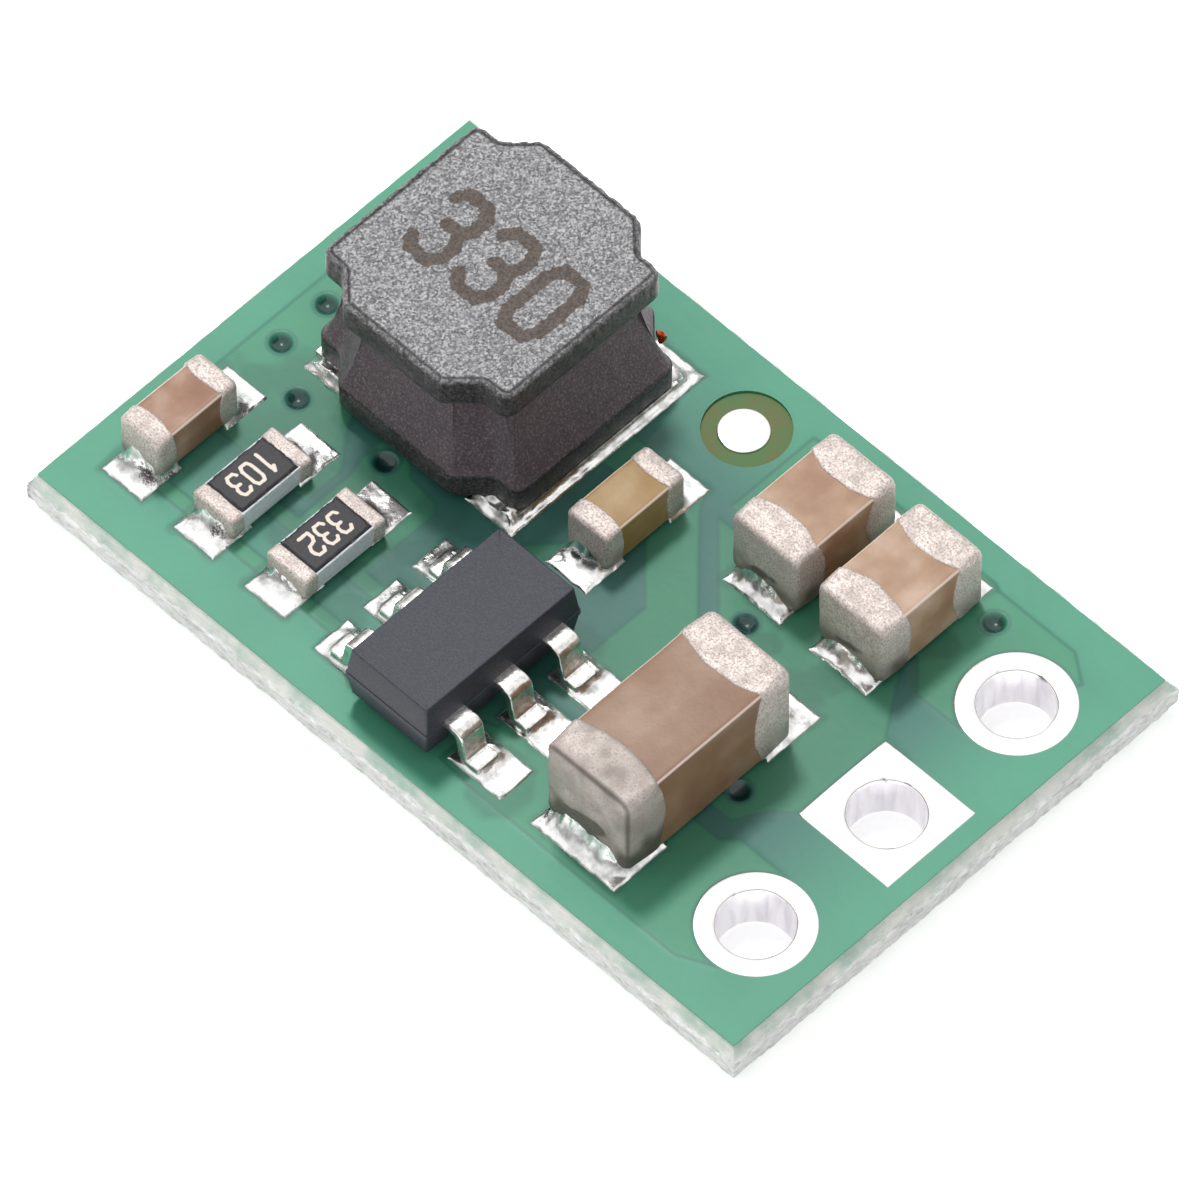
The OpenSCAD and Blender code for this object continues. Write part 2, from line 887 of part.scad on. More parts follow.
module regulator_leads_right() {
    color("#d9d6d0")
        lead_row(1);
}

// Solder on each land, with a mound in front of and behind the lead's foot
module regulator_solder() {
    mound_w = regulator_land.y - 2 * abs(regulator_slip.y) - 0.01;
    mound_h = solder_gap + 0.10;
    color("#d6d5d2")
    difference() {
        union() {
            translate([0, 0, land_z])
                linear_extrude(solder_skin)
                    regulator_lands();
            for (s = [-1, 1], i = [-1 : 1])
                translate([regulator_at.x, regulator_at.y + regulator_slip.y + i * lead_pitch, land_z])
                    mirror([s < 0 ? 1 : 0, 0, 0])
                        along_y(mound_w)
                            lead_mound(s * regulator_slip.x, mound_h);
        }
        lead_row(-1);
        lead_row(1);
    }
}

// Mound from the land's outer edge over the foot to behind the heel; slip moves the lead
module lead_mound(slip, h) {
    tip = lead_span / 2 + slip;
    heel = tip - foot_l - 0.22;
    reach = regulator_reach / 2;
    polygon(concat(
        [[heel - 0.12, 0], [reach, 0]],
        [for (i = [0 : fillet_steps])
            let (s = i / fillet_steps)
            [reach - (reach - tip) * s, solder_skin + (h - solder_skin) * pow(s, 2.4)]],
        [[heel, h], [heel - 0.12, solder_skin]]
    ));
}

// Chip parts -----------------------------------------------------------------------------

module chip_body(at, slip, w, l, h, r) {
    m = end_metal_t;
    translate([at.x + slip.x, at.y + slip.y, part_z + m])
        rounded_block(w - 2 * m, l - 2 * m, h - 2 * m, max(r - m, 0.02));
}

module chip_ends(at, slip, w, l, h, r, band) {
    difference() {
        translate([at.x + slip.x, at.y + slip.y, part_z])
            difference() {
                rounded_block(w, l, h, r);
                translate([0, 0, h / 2])
                    cube([w + cut, l - 2 * band, h + cut], center = true);
            }
        chip_body(at, slip, w, l, h, r);
    }
}

// Fillets at both ends of a chip; rise is how far the solder climbs the near and the far end
module chip_solder(at, slip, w, l, h, r, band, land, toe, rise) {
    color("#d6d5d2")
    difference() {
        for (s = [-1, 1])
            translate([at.x, at.y + slip.y + s * l / 2, land_z])
                mirror([0, s < 0 ? 1 : 0, 0])
                    along_x(land.x)
                        polygon(fillet(toe - s * slip.y, rise[s < 0 ? 0 : 1], land.y - toe + s * slip.y));
        translate([at.x + slip.x, at.y + slip.y, part_z]) {
            rounded_block(w, l, h, r);
            // the solder stops at the inner edge of the metal and stays under the part
            translate([0, 0, h / 2])
                cube([w + land.x, l - 2 * band, h], center = true);
            for (s = [-1, 1])
                translate([s * (w / 2 + land.x / 2 - 0.02), 0, h / 2 + solder_skin])
                    cube([land.x, l - 2 * r, h], center = true);
        }
    }
}

module feed_cap_body() {
    color("#a87452")
        chip_body(feed_at, feed_slip, small_cap_w, small_cap_l, small_cap_h, small_round);
}

module feed_cap_ends() {
    color("#d8cfc6")
        chip_ends(feed_at, feed_slip, small_cap_w, small_cap_l, small_cap_h, small_round, small_band);
}

module feed_cap_solder() {
    chip_solder(feed_at, feed_slip, small_cap_w, small_cap_l, small_cap_h, small_round, small_band,
        small_land, small_toe, [0.42, 0.30]);
}

module boot_cap_body() {
    color("#c9a766")
        chip_body(boot_at, boot_slip, small_cap_w, small_cap_l, small_cap_h, small_round);
}

module boot_cap_ends() {
    color("#d8cfc6")
        chip_ends(boot_at, boot_slip, small_cap_w, small_cap_l, small_cap_h, small_round, small_band);
}

module boot_cap_solder() {
    chip_solder(boot_at, boot_slip, small_cap_w, small_cap_l, small_cap_h, small_round, small_band,
        small_land, small_toe, [0.36, 0.22]);
}

module output_cap_a_body() {
    color("#a87452")
        chip_body(output_a_at, output_a_slip, medium_cap_w, medium_cap_l, medium_cap_h, medium_round);
}

module output_cap_a_ends() {
    color("#d8cfc6")
        chip_ends(output_a_at, output_a_slip, medium_cap_w, medium_cap_l, medium_cap_h, medium_round,
            medium_band);
}

module output_cap_a_solder() {
    chip_solder(output_a_at, output_a_slip, medium_cap_w, medium_cap_l, medium_cap_h, medium_round,
        medium_band, medium_land, medium_toe, [0.40, 0.30]);
}

module output_cap_b_body() {
    color("#a87452")
        chip_body(output_b_at, output_b_slip, medium_cap_w, medium_cap_l, medium_cap_h, medium_round);
}

module output_cap_b_ends() {
    color("#d8cfc6")
        chip_ends(output_b_at, output_b_slip, medium_cap_w, medium_cap_l, medium_cap_h, medium_round,
            medium_band);
}

module output_cap_b_solder() {
    chip_solder(output_b_at, output_b_slip, medium_cap_w, medium_cap_l, medium_cap_h, medium_round,
        medium_band, medium_land, medium_toe, [0.40, 0.30]);
}

module input_cap_body() {
    color("#b08468")
        chip_body(input_at, input_slip, large_cap_w, large_cap_l, large_cap_h, large_round);
}

module input_cap_ends() {
    color("#d8cfc6")
        chip_ends(input_at, input_slip, large_cap_w, large_cap_l, large_cap_h, large_round, large_band);
}

module input_cap_solder() {
    chip_solder(input_at, input_slip, large_cap_w, large_cap_l, large_cap_h, large_round, large_band,
        large_land, large_toe, [0.60, 0.40]);
}

// Resistors: an alumina tile, metal ends round it and a black overcoat between them
resistor_round = 0.03;

module resistor_base(at, slip) {
    color("#c3c7c6")
        chip_body(at, slip, resistor_w, resistor_l, resistor_h, resistor_round);
}

module resistor_ends(at, slip) {
    color("#d8d2c8")
        chip_ends(at, slip, resistor_w, resistor_l, resistor_h, resistor_round, resistor_band);
}

module resistor_overcoat(at, slip) {
    color("#34322f")
    translate([at.x + slip.x, at.y + slip.y, part_z + resistor_h - end_metal_t])
        linear_extrude(end_metal_t + overcoat_t)
            square([resistor_w - 2 * end_metal_t - 2 * resistor_round, resistor_l - 2 * resistor_band],
                center = true);
}

module resistor_solder(at, slip) {
    chip_solder(at, slip, resistor_w, resistor_l, resistor_h, resistor_round, resistor_band,
        small_land, small_toe + 0.02, [0.34, 0.26]);
}

module resistor_a_base() {
    resistor_base(resistor_a_at, resistor_a_slip);
}

module resistor_a_overcoat() {
    resistor_overcoat(resistor_a_at, resistor_a_slip);
}

module resistor_a_ends() {
    resistor_ends(resistor_a_at, resistor_a_slip);
}

module resistor_a_solder() {
    resistor_solder(resistor_a_at, resistor_a_slip);
}

module resistor_b_base() {
    resistor_base(resistor_b_at, resistor_b_slip);
}

module resistor_b_overcoat() {
    resistor_overcoat(resistor_b_at, resistor_b_slip);
}

module resistor_b_ends() {
    resistor_ends(resistor_b_at, resistor_b_slip);
}

module resistor_b_solder() {
    resistor_solder(resistor_b_at, resistor_b_slip);
}

scored_laminate();
top_copper();
bottom_copper();
top_solder_mask();
bottom_solder_mask();
via_barrels();
fiducial_dot();
pin_hole_output();
pin_hole_ground();
pin_hole_input();
inductor_core();
inductor_winding();
inductor_resin();
inductor_terminal_left();
inductor_terminal_right();
inductor_solder();
regulator_body();
regulator_leads_left();
regulator_leads_right();
regulator_solder();
feed_cap_body();
feed_cap_ends();
feed_cap_solder();
boot_cap_body();
boot_cap_ends();
boot_cap_solder();
output_cap_a_body();
output_cap_a_ends();
output_cap_a_solder();
output_cap_b_body();
output_cap_b_ends();
output_cap_b_solder();
input_cap_body();
input_cap_ends();
input_cap_solder();
resistor_a_base();
resistor_a_overcoat();
resistor_a_ends();
resistor_a_solder();
resistor_b_base();
resistor_b_overcoat();
resistor_b_ends();
resistor_b_solder();
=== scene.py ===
"""Buck converter module, dressed: a small green circuit board with a drum-core inductor, a six-lead
regulator, chip capacitors and chip resistors. Shapes are worked out in millimetres and set down in
metres, in the frame of the solids."""
import json
import math

import bmesh
import bpy
import numpy as np
from mathutils import Matrix, Vector


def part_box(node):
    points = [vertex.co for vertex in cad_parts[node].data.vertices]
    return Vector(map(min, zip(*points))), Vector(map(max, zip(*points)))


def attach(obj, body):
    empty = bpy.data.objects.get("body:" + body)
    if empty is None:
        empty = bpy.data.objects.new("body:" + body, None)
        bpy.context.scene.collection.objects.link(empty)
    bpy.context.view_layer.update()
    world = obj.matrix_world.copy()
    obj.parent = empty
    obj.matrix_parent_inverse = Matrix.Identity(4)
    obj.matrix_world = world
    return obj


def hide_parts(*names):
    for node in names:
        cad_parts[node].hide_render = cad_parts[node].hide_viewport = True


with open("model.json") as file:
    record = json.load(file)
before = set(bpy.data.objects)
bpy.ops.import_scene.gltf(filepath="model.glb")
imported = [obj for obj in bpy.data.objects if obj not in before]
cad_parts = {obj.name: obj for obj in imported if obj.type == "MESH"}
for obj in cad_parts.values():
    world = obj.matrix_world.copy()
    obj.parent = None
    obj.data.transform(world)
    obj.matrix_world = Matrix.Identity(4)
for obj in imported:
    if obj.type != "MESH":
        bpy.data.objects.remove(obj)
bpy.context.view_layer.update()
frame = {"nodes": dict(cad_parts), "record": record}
NODES = frame["nodes"]
MM = 0.001


# Surfaces -------------------------------------------------------------------------------

def box_mm(node):
    """The two corners of a node's box, in millimetres."""
    lo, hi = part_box(node)
    return np.array(lo) / MM, np.array(hi) / MM


def weave(rows, columns, loop=False):
    """Four-sided faces between points laid out in rows. With loop, each row closes on itself."""
    i = np.arange(rows * columns).reshape(rows, columns)
    if loop:
        i = np.hstack([i, i[:, :1]])
    return np.stack([i[:-1, :-1], i[:-1, 1:], i[1:, 1:], i[1:, :-1]], -1).reshape(-1, 4)


def sheet(x, y, z, loop=False):
    """The surface through points laid out in rows, given as their three coordinates."""
    x, y, z = np.broadcast_arrays(x, y, z)
    return np.stack([x, y, z], -1), weave(*x.shape, loop)


def away_from(x, y, x0, x1, y0, y1):
    """Distance from an upright rectangle, 0 inside it."""
    return np.hypot(np.maximum(np.maximum(x0 - x, x - x1), 0), np.maximum(np.maximum(y0 - y, y - y1), 0))


def square_of_gap(x, y, start, end):
    """Squared distance to a straight line from start to end: to the nearest point along it."""
    (x0, y0), (dx, dy) = start, np.subtract(end, start)
    t = np.clip(((x - x0) * dx + (y - y0) * dy) / max(dx * dx + dy * dy, 1e-12), 0, 1)
    return (x - x0 - t * dx) ** 2 + (y - y0 - t * dy) ** 2


def piece(name, surfaces, look, replaced=(), values=None, sharp=None, merge=True):
    """One mesh from surfaces, each a pair of points and four-sided faces. Its poles and seams are
    merged, and edges that turn by more than sharp degrees stay crisp."""
    points = [np.asarray(p, float).reshape(-1, 3) for p, _ in surfaces]
    start = np.cumsum([0] + [len(p) for p in points[:-1]])
    faces = np.concatenate([f + s for (_, f), s in zip(surfaces, start)])
    mesh = bpy.data.meshes.new(name)
    mesh.from_pydata(np.concatenate(points) * MM, [], faces)
    for key, value in (values or {}).items():
        data = mesh.attributes.new(key, "FLOAT", "POINT").data
        data.foreach_set("value", np.asarray(value, float).ravel())
    if merge:
        soft = bmesh.new()
        soft.from_mesh(mesh)
        bmesh.ops.remove_doubles(soft, verts=soft.verts, dist=1e-8)
        soft.to_mesh(mesh)
        soft.free()
    mesh.polygons.foreach_set("use_smooth", np.ones(len(mesh.polygons), bool))
    if sharp:
        mesh.set_sharp_from_angle(angle=math.radians(sharp))
    mesh.materials.append(look)
    made = bpy.data.objects.new(name, mesh)
    bpy.context.scene.collection.objects.link(made)
    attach(made, "root")
    if replaced:
        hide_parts(*replaced)


def noise(points, size, seed=0):
    """Smooth values from -1 to 1: random numbers on a cubic lattice of the given size in mm, each
    blended into the next along a smoothstep."""
    q = np.asarray(points, float) / size + 31.7 * (seed + 1)
    cell = np.floor(q).astype(np.int64)
    f = q - cell
    f = f * f * (3 - 2 * f)
    total = np.zeros(q.shape[:-1])
    for corner in range(8):
        c = np.array([corner & 1, corner >> 1 & 1, corner >> 2])
        k = (cell + c) * np.array([73856093, 19349663, 83492791])
        h = (k[..., 0] ^ k[..., 1] ^ k[..., 2]) & 0xFFFFFF
        h = (h * (h * h * 15731 + 789221) + 1376312589) & 0x7FFFFFFF
        total += np.prod(np.where(c, f, 1 - f), -1) * (h / 0x3FFFFFFF - 1)
    return total


def rough(points, size, seed=0, layers=3):
    """Noise summed over layers, each half the size and half the strength of the one before."""
    return sum(noise(points, size / 2 ** k, seed + 7 * k) / 2 ** k for k in range(layers))


def step(x, low, high):
    """Smoothstep: 0 below low, 1 above high, and a cubic ease between them."""
    t = np.clip((x - low) / (high - low), 0, 1)
    return t * t * (3 - 2 * t)


def rounded(a, b, r, arc=6, side=8):
    """Closed rows of points round rectangles with half sizes a and b and corner radius r, a row for
    each value: every quarter is an arc in equal steps, then a straight run to the next arc."""
    a, b, r = (np.asarray(v, float).reshape(-1, 1) for v in (a, b, r))
    first, second = [], []
    t = np.linspace(0, 1, side + 1)[1:-1]
    turn = np.radians(np.linspace(0, 90, arc + 1))
    signs = [(1, 1), (-1, 1), (-1, -1), (1, -1), (1, 1)]
    for k in range(4):
        (sa, sb), (na, nb) = signs[k], signs[k + 1]
        bend = turn + k * np.pi / 2
        p, q = sa * (a - r) + r * np.cos(bend), sb * (b - r) + r * np.sin(bend)
        end = (k + 1) * np.pi / 2
        p1, q1 = na * (a - r) + r * np.cos(end), nb * (b - r) + r * np.sin(end)
        first += [p, p[:, -1:] * (1 - t) + p1 * t]
        second += [q, q[:, -1:] * (1 - t) + q1 * t]
    return np.hstack(first), np.hstack(second)


def stack(centre, rows, upright=True, arc=6, side=8):
    """A closed solid from rows of half sizes a and b, corner radius and level. Upright, a and b lie
    along X and Y and the level along Z; otherwise along Z and X, with the level along Y."""
    rows = np.array(rows, float)
    p, q = rounded(rows[:, 0], rows[:, 1], rows[:, 2], arc, side)
    level = np.broadcast_to(rows[:, 3:4], p.shape)
    points = np.stack([p, q, level] if upright else [q, level, p], -1) + centre
    return points, weave(*p.shape, loop=True)


# Colour and nodes -----------------------------------------------------------------------

def linear(hex_colour):
    """An sRGB hex colour as linear RGBA: each channel undoes the sRGB curve."""
    c = np.array([int(hex_colour[i:i + 2], 16) for i in (1, 3, 5)]) / 255
    return (*np.where(c <= 0.04045, c / 12.92, ((c + 0.055) / 1.055) ** 2.4), 1.0)


# settings of a node that mixes colours, and of one that maps a range along a smoothstep
COLOURS = {"data_type": "RGBA", "out": 2}
EASED = {"interpolation_type": "SMOOTHSTEP"}


def add(tree, kind, inputs, out=0, stops=(), **settings):
    """Adds one node, with its settings, fills its inputs with values, hex colours or links, and
    gives back one of its outputs. Inputs are named, or given in the node's own order. A colour
    ramp's stops are pairs of a place and a colour."""
    made = tree.nodes.new("ShaderNode" + kind)
    for key, value in settings.items():
        setattr(made, key, value)
    for key, value in inputs.items() if isinstance(inputs, dict) else enumerate(inputs):
        if isinstance(value, bpy.types.NodeSocket):
            tree.links.new(value, made.inputs[key])
        else:
            made.inputs[key].default_value = linear(value) if isinstance(value, str) else value
    for i, (spot, shade) in enumerate(stops):
        ramp = made.color_ramp.elements
        stop = ramp[i] if i < len(ramp) else ramp.new(spot)
        stop.position, stop.color = spot, linear(shade)
    return made.outputs[out]


def per_mm(size):
    """Texture scale that gives features of the given size in millimetres."""
    return 1 / (size * MM)


def material(name, base, metallic=0.0, roughness=0.5):
    """A material on the shader's own sockets, with its tree, its shader's inputs, and coordinates."""
    m = bpy.data.materials.new(name)
    m.use_nodes = True
    tree = m.node_tree
    sockets = tree.nodes["Principled BSDF"].inputs
    sockets["Base Color"].default_value = linear(base)
    sockets["Metallic"].default_value = metallic
    sockets["Roughness"].default_value = roughness
    return m, tree, sockets, add(tree, "TexCoord", {}, "Object")


def speckled(name, dark, mid, light, size, metallic, roughness, bump, spread=(0.35, 0.5, 0.65), detail=4.0):
    """A material whose colour runs from dark through mid to light over grains of size mm, which
    also roughen the surface by bump mm."""
    m, tree, sockets, place = material(name, mid, metallic, roughness)
    grain = add(tree, "TexNoise", {"Vector": place, "Scale": per_mm(size), "Detail": detail})
    tint = add(tree, "ValToRGB", (grain,), stops=zip(spread, (dark, mid, light)))
    tree.links.new(tint, sockets["Base Color"])
    relief = add(tree, "Bump", {"Height": grain, "Distance": bump * MM, "Strength": 1.0})
    tree.links.new(relief, sockets["Normal"])
    return m


def lacquer():
    """Green photo-imaged solder mask, cured semi-gloss over copper and bare laminate. The copper's
    edges show as soft dark lines: painted shade of the lacquer's small step there, where the lacquer
    also runs thin. Light that soaks into the laminate from the board's edges makes it mint there.
    Left-over flux lies on it as a clear, slightly darker film, a darkening that is partly painted
    shade where parts shade the board, and the filled vias are dark and glossy."""
    m, tree, sockets, place = material("green_solder_mask", "#3c9a74", 0, 0.45)
    sockets["Coat Weight"].default_value = 0.35
    sockets["Coat Roughness"].default_value = 0.07
    pour, rim, flux, pit = (add(tree, "Attribute", {}, "Fac", attribute_name=key)
                            for key in ("pour", "rim", "flux", "pit"))
    cover = add(tree, "MapRange", (pour, -0.025, 0.02), **EASED)
    glow = add(tree, "MapRange", (rim, 0.1, 2.6, 1.0, 0.0), **EASED)
    bare = add(tree, "Mix", {0: glow, 6: "#356b63", 7: "#4c9c7e"}, **COLOURS)
    clad = add(tree, "Mix", {0: glow, 6: "#398163", 7: "#459473"}, **COLOURS)
    both = add(tree, "Mix", {0: cover, 6: bare, 7: clad}, **COLOURS)
    # painted shade: a soft dark line along the copper's edges, where the lacquer steps up over the copper
    # and also runs thin
    near = add(tree, "Math", (pour,), operation="ABSOLUTE")
    line = add(tree, "MapRange", (near, 0.0, 0.05, 0.5, 0.0), **EASED)
    lined = add(tree, "Mix", {0: line, 6: both, 7: "#1f5a52"}, **COLOURS)
    cloud = add(tree, "TexNoise", {"Vector": place, "Scale": per_mm(1.3), "Detail": 5.0})
    tone = add(tree, "MapRange", (cloud, 0.3, 0.7, 0.0, 0.22))
    clouded = add(tree, "Mix", {0: tone, 6: lined, 7: "#2f6f5c"}, **COLOURS)
    # painted shade in part: the flux films darken the lacquer, and some of them lie where parts shade the
    # board
    film_and_shade = add(tree, "MapRange", (flux, 0.36, 0.62), **EASED)
    flux_stain_and_shade = add(tree, "Math", (film_and_shade, 0.4), operation="MULTIPLY")
    stained_and_shaded = add(tree, "Mix", {0: flux_stain_and_shade, 6: clouded, 7: "#1a5546"}, **COLOURS)
    deep = add(tree, "Mix", {0: pit, 6: stained_and_shaded, 7: "#0b2f2c"}, **COLOURS)
    tree.links.new(deep, sockets["Base Color"])
    tree.links.new(add(tree, "MapRange", (pit, 0.0, 1.0, 0.46, 0.14)), sockets["Roughness"])
    peel = add(tree, "TexNoise", {"Vector": place, "Scale": per_mm(0.16), "Detail": 3.0})
    film = add(tree, "Bump", {"Height": film_and_shade, "Distance": 0.004 * MM, "Strength": 0.2})
    skin = add(tree, "Bump", {"Height": peel, "Distance": 0.006 * MM, "Strength": 0.5, "Normal": film})
    tree.links.new(skin, sockets["Normal"])
    return m


def glass_laminate():
    """Woven glass in epoxy: olive and smooth on its faces. Where the board was scored the slope is
    frosted and minty from the light that soaks in, and where it snapped the web is torn whitish
    fibre."""
    m, tree, sockets, place = material("glass_fibre_laminate", "#677a48", 0, 0.45)
    torn = add(tree, "Attribute", {}, "Fac", attribute_name="torn")
    flat = add(tree, "Mapping", {"Vector": place, "Scale": (1.0, 1.0, 4.0)})
    fibre = add(tree, "TexNoise", {"Vector": flat, "Scale": per_mm(0.2), "Detail": 8.0, "Roughness": 0.72})
    white = add(tree, "ValToRGB", (fibre,), stops=((0.3, "#b8bfb8"), (0.48, "#e9ece7"), (0.6, "#ffffff")))
    cloud = add(tree, "TexNoise", {"Vector": place, "Scale": per_mm(0.5), "Detail": 5.0})
    frost = add(tree, "ValToRGB", (cloud,), stops=((0.36, "#bcd4c6"), (0.6, "#eef0e8")))
    olive = add(tree, "ValToRGB", (cloud,), stops=((0.4, "#406a2c"), (0.62, "#605c22")))
    cut = add(tree, "MapRange", (torn, 0.0, 0.3))
    scored = add(tree, "Mix", {0: cut, 6: olive, 7: frost}, **COLOURS)
    ragged = add(tree, "Math", (fibre, 0.5, torn), operation="MULTIPLY_ADD")
    snapped = add(tree, "MapRange", (ragged, 0.78, 0.98))
    tint = add(tree, "Mix", {0: snapped, 6: scored, 7: white}, **COLOURS)
    tree.links.new(tint, sockets["Base Color"])
    depth = add(tree, "Math", (cut, 0.8), operation="MULTIPLY")
    relief = add(tree, "Bump", {"Height": fibre, "Distance": 0.06 * MM, "Strength": depth})
    tree.links.new(relief, sockets["Normal"])
    return m


def chip_end_metal():
    """Chip ends of fired silver dipped and tin-plated: matt, creamy white, with fine darker specks
    where the coat is thin, a dull smudge of flux on some end faces, and a painted reflection of the
    green board that darkens the lower part of every end."""
    m, tree, sockets, place = material("tin_plated_chip_end", "#c9c0b8", 0.45, 0.6)
    speck = add(tree, "TexNoise", {"Vector": place, "Scale": per_mm(0.03), "Detail": 4.0,
                                   "Roughness": 0.62})
    plated = add(tree, "ValToRGB", (speck,),
                 stops=((0.34, "#a2948b"), (0.49, "#d2c6bf"), (0.62, "#e8dfda")))
    patch = add(tree, "TexNoise", {"Vector": place, "Scale": per_mm(0.22), "Detail": 4.0})
    tone = add(tree, "MapRange", (patch, 0.45, 0.68, 0.0, 0.4))
    cloudy = add(tree, "Mix", {0: tone, 6: plated, 7: "#b3a6a0"}, **COLOURS)
    # this attribute holds flux smudges and a painted reflection of the green board, darker low on each end
    soot_and_reflection = add(tree, "Attribute", {}, "Fac", attribute_name="soot_and_reflection")
    broken = add(tree, "Math", (speck, 0.6, soot_and_reflection), operation="MULTIPLY_ADD")
    smudge = add(tree, "MapRange", (broken, 0.4, 1.05, 0.0, 0.85), **EASED)
    smudged_and_reflecting = add(tree, "Mix", {0: smudge, 6: cloudy, 7: "#474439"}, **COLOURS)
    tree.links.new(smudged_and_reflecting, sockets["Base Color"])
    tree.links.new(add(tree, "MapRange", (patch, 0.35, 0.65, 0.5, 0.64)), sockets["Roughness"])
    relief = add(tree, "Bump", {"Height": speck, "Distance": 0.007 * MM, "Strength": 0.7})
    tree.links.new(relief, sockets["Normal"])
    return m


def reflowed_solder():
    """Tin solder that melted and froze in place: white and bright as a mirror, with slow ripples and
    fine frosted patches, and in a few spots a speckled, purplish brown trace of burnt flux."""
    m, tree, sockets, place = material("reflowed_solder", "#fbfbf9", 1, 0.16)
    ripple = add(tree, "TexNoise", {"Vector": place, "Scale": per_mm(0.2), "Detail": 5.0})
    speck = add(tree, "TexNoise", {"Vector": place, "Scale": per_mm(0.03), "Detail": 3.0})
    frost = add(tree, "TexNoise", {"Vector": place, "Scale": per_mm(0.4), "Detail": 2.0})
    tree.links.new(add(tree, "MapRange", (frost, 0.35, 0.65, 0.14, 0.36)), sockets["Roughness"])
    soil = add(tree, "Attribute", {}, "Fac", attribute_name="flux")
    mixed = add(tree, "Math", (soil, speck), operation="MULTIPLY")
    brown = add(tree, "MapRange", (mixed, 0.34, 0.54, 0.0, 0.9))
    dull = add(tree, "MapRange", (ripple, 0.44, 0.7, 0.0, 0.85))
    grey = add(tree, "Mix", {0: dull, 6: "#fbfbf9", 7: "#a9a8a6"}, **COLOURS)
    tint = add(tree, "Mix", {0: brown, 6: grey, 7: "#574853"}, **COLOURS)
    tree.links.new(tint, sockets["Base Color"])
    relief = add(tree, "Bump", {"Height": ripple, "Distance": 0.022 * MM, "Strength": 0.6})
    grain = add(tree, "Bump", {"Height": speck, "Distance": 0.003 * MM, "Strength": 0.5, "Normal": relief})
    tree.links.new(grain, sockets["Normal"])
    return m


def fired_ceramic(name, low, base, high):
    """Multilayer capacitor ceramic, pressed, cut and fired: satin, warm and smooth, with faint
    clouds, barely seen lines along its length, and a pale painted highlight along its long edges."""
    m, tree, sockets, place = material(name, base, 0, 0.3)
    cloud = add(tree, "TexNoise", {"Vector": place, "Scale": per_mm(0.8), "Detail": 5.0})
    along = add(tree, "Mapping", {"Vector": place, "Scale": (1.0, 0.08, 1.0)})
    layer = add(tree, "TexNoise", {"Vector": along, "Scale": per_mm(0.2), "Detail": 3.0})
    mixed = add(tree, "Mix", {0: 0.14, 2: cloud, 3: layer})
    fired = add(tree, "ValToRGB", (mixed,), stops=((0.36, low), (0.5, base), (0.66, high)))
    edge = add(tree, "Attribute", {}, "Fac", attribute_name="edge")
    # painted highlight: a thin pale line along the ceramic's long edges
    pale = add(tree, "MapRange", (edge, 0.45, 1.0, 0.0, 0.75))
    edge_highlighted = add(tree, "Mix", {0: pale, 6: fired, 7: "#f4e8dc"}, **COLOURS)
    tree.links.new(edge_highlighted, sockets["Base Color"])
    fine = add(tree, "TexNoise", {"Vector": place, "Scale": per_mm(0.05), "Detail": 2.0})
    relief = add(tree, "Bump", {"Height": fine, "Distance": 0.002 * MM, "Strength": 0.5})
    tree.links.new(relief, sockets["Normal"])
    return m


def drum_ferrite():
    """Sintered nickel-zinc ferrite, ground on top and coated with dark varnish round its sides: the
    ground face is an open grey grain, the coat is dark, purplish and half glossy. The value is
    marked on top in matt brown ink that sinks into the grain."""
    m, tree, sockets, place = material("sintered_ferrite", "#8d8e90", 0, 0.55)
    coat = add(tree, "Attribute", {}, "Fac", attribute_name="coat")
    ink = add(tree, "Attribute", {}, "Fac", attribute_name="ink")
    cells = add(tree, "TexVoronoi", {"Vector": place, "Scale": per_mm(0.03)}, "Color")
    pits = add(tree, "TexNoise", {"Vector": place, "Scale": per_mm(0.034), "Detail": 3.0,
                                  "Roughness": 0.62})
    grain = add(tree, "Mix", {0: 0.36, 2: pits, 3: cells})
    bare = add(tree, "ValToRGB", (grain,), stops=((0.34, "#565557"), (0.5, "#868688"), (0.66, "#bebebf")))
    brown = add(tree, "ValToRGB", (grain,), stops=((0.36, "#433a35"), (0.64, "#665b54")))
    varnish = add(tree, "ValToRGB", (grain,), stops=((0.42, "#1d1b1c"), (0.72, "#605a5d")))
    blotch = add(tree, "TexNoise", {"Vector": place, "Scale": per_mm(0.11), "Detail": 3.0})
    shift = add(tree, "Math", (blotch, 0.13, -0.065), operation="MULTIPLY_ADD")
    edge = add(tree, "Math", (ink, shift), operation="ADD")
    inked = add(tree, "MapRange", (edge, -0.012, 0.012), **EASED)
    face = add(tree, "Mix", {0: inked, 6: bare, 7: brown}, **COLOURS)
    worn = add(tree, "Math", (coat, shift), operation="ADD")
    over = add(tree, "MapRange", (worn, 0.1, 0.75))
    tree.links.new(add(tree, "Mix", {0: over, 6: face, 7: varnish}, **COLOURS), sockets["Base Color"])
    tree.links.new(add(tree, "MapRange", (over, 0.0, 1.0, 0.6, 0.34)), sockets["Roughness"])
    relief = add(tree, "Bump", {"Height": grain, "Distance": 0.016 * MM, "Strength": 0.9})
    tree.links.new(relief, sockets["Normal"])
    return m


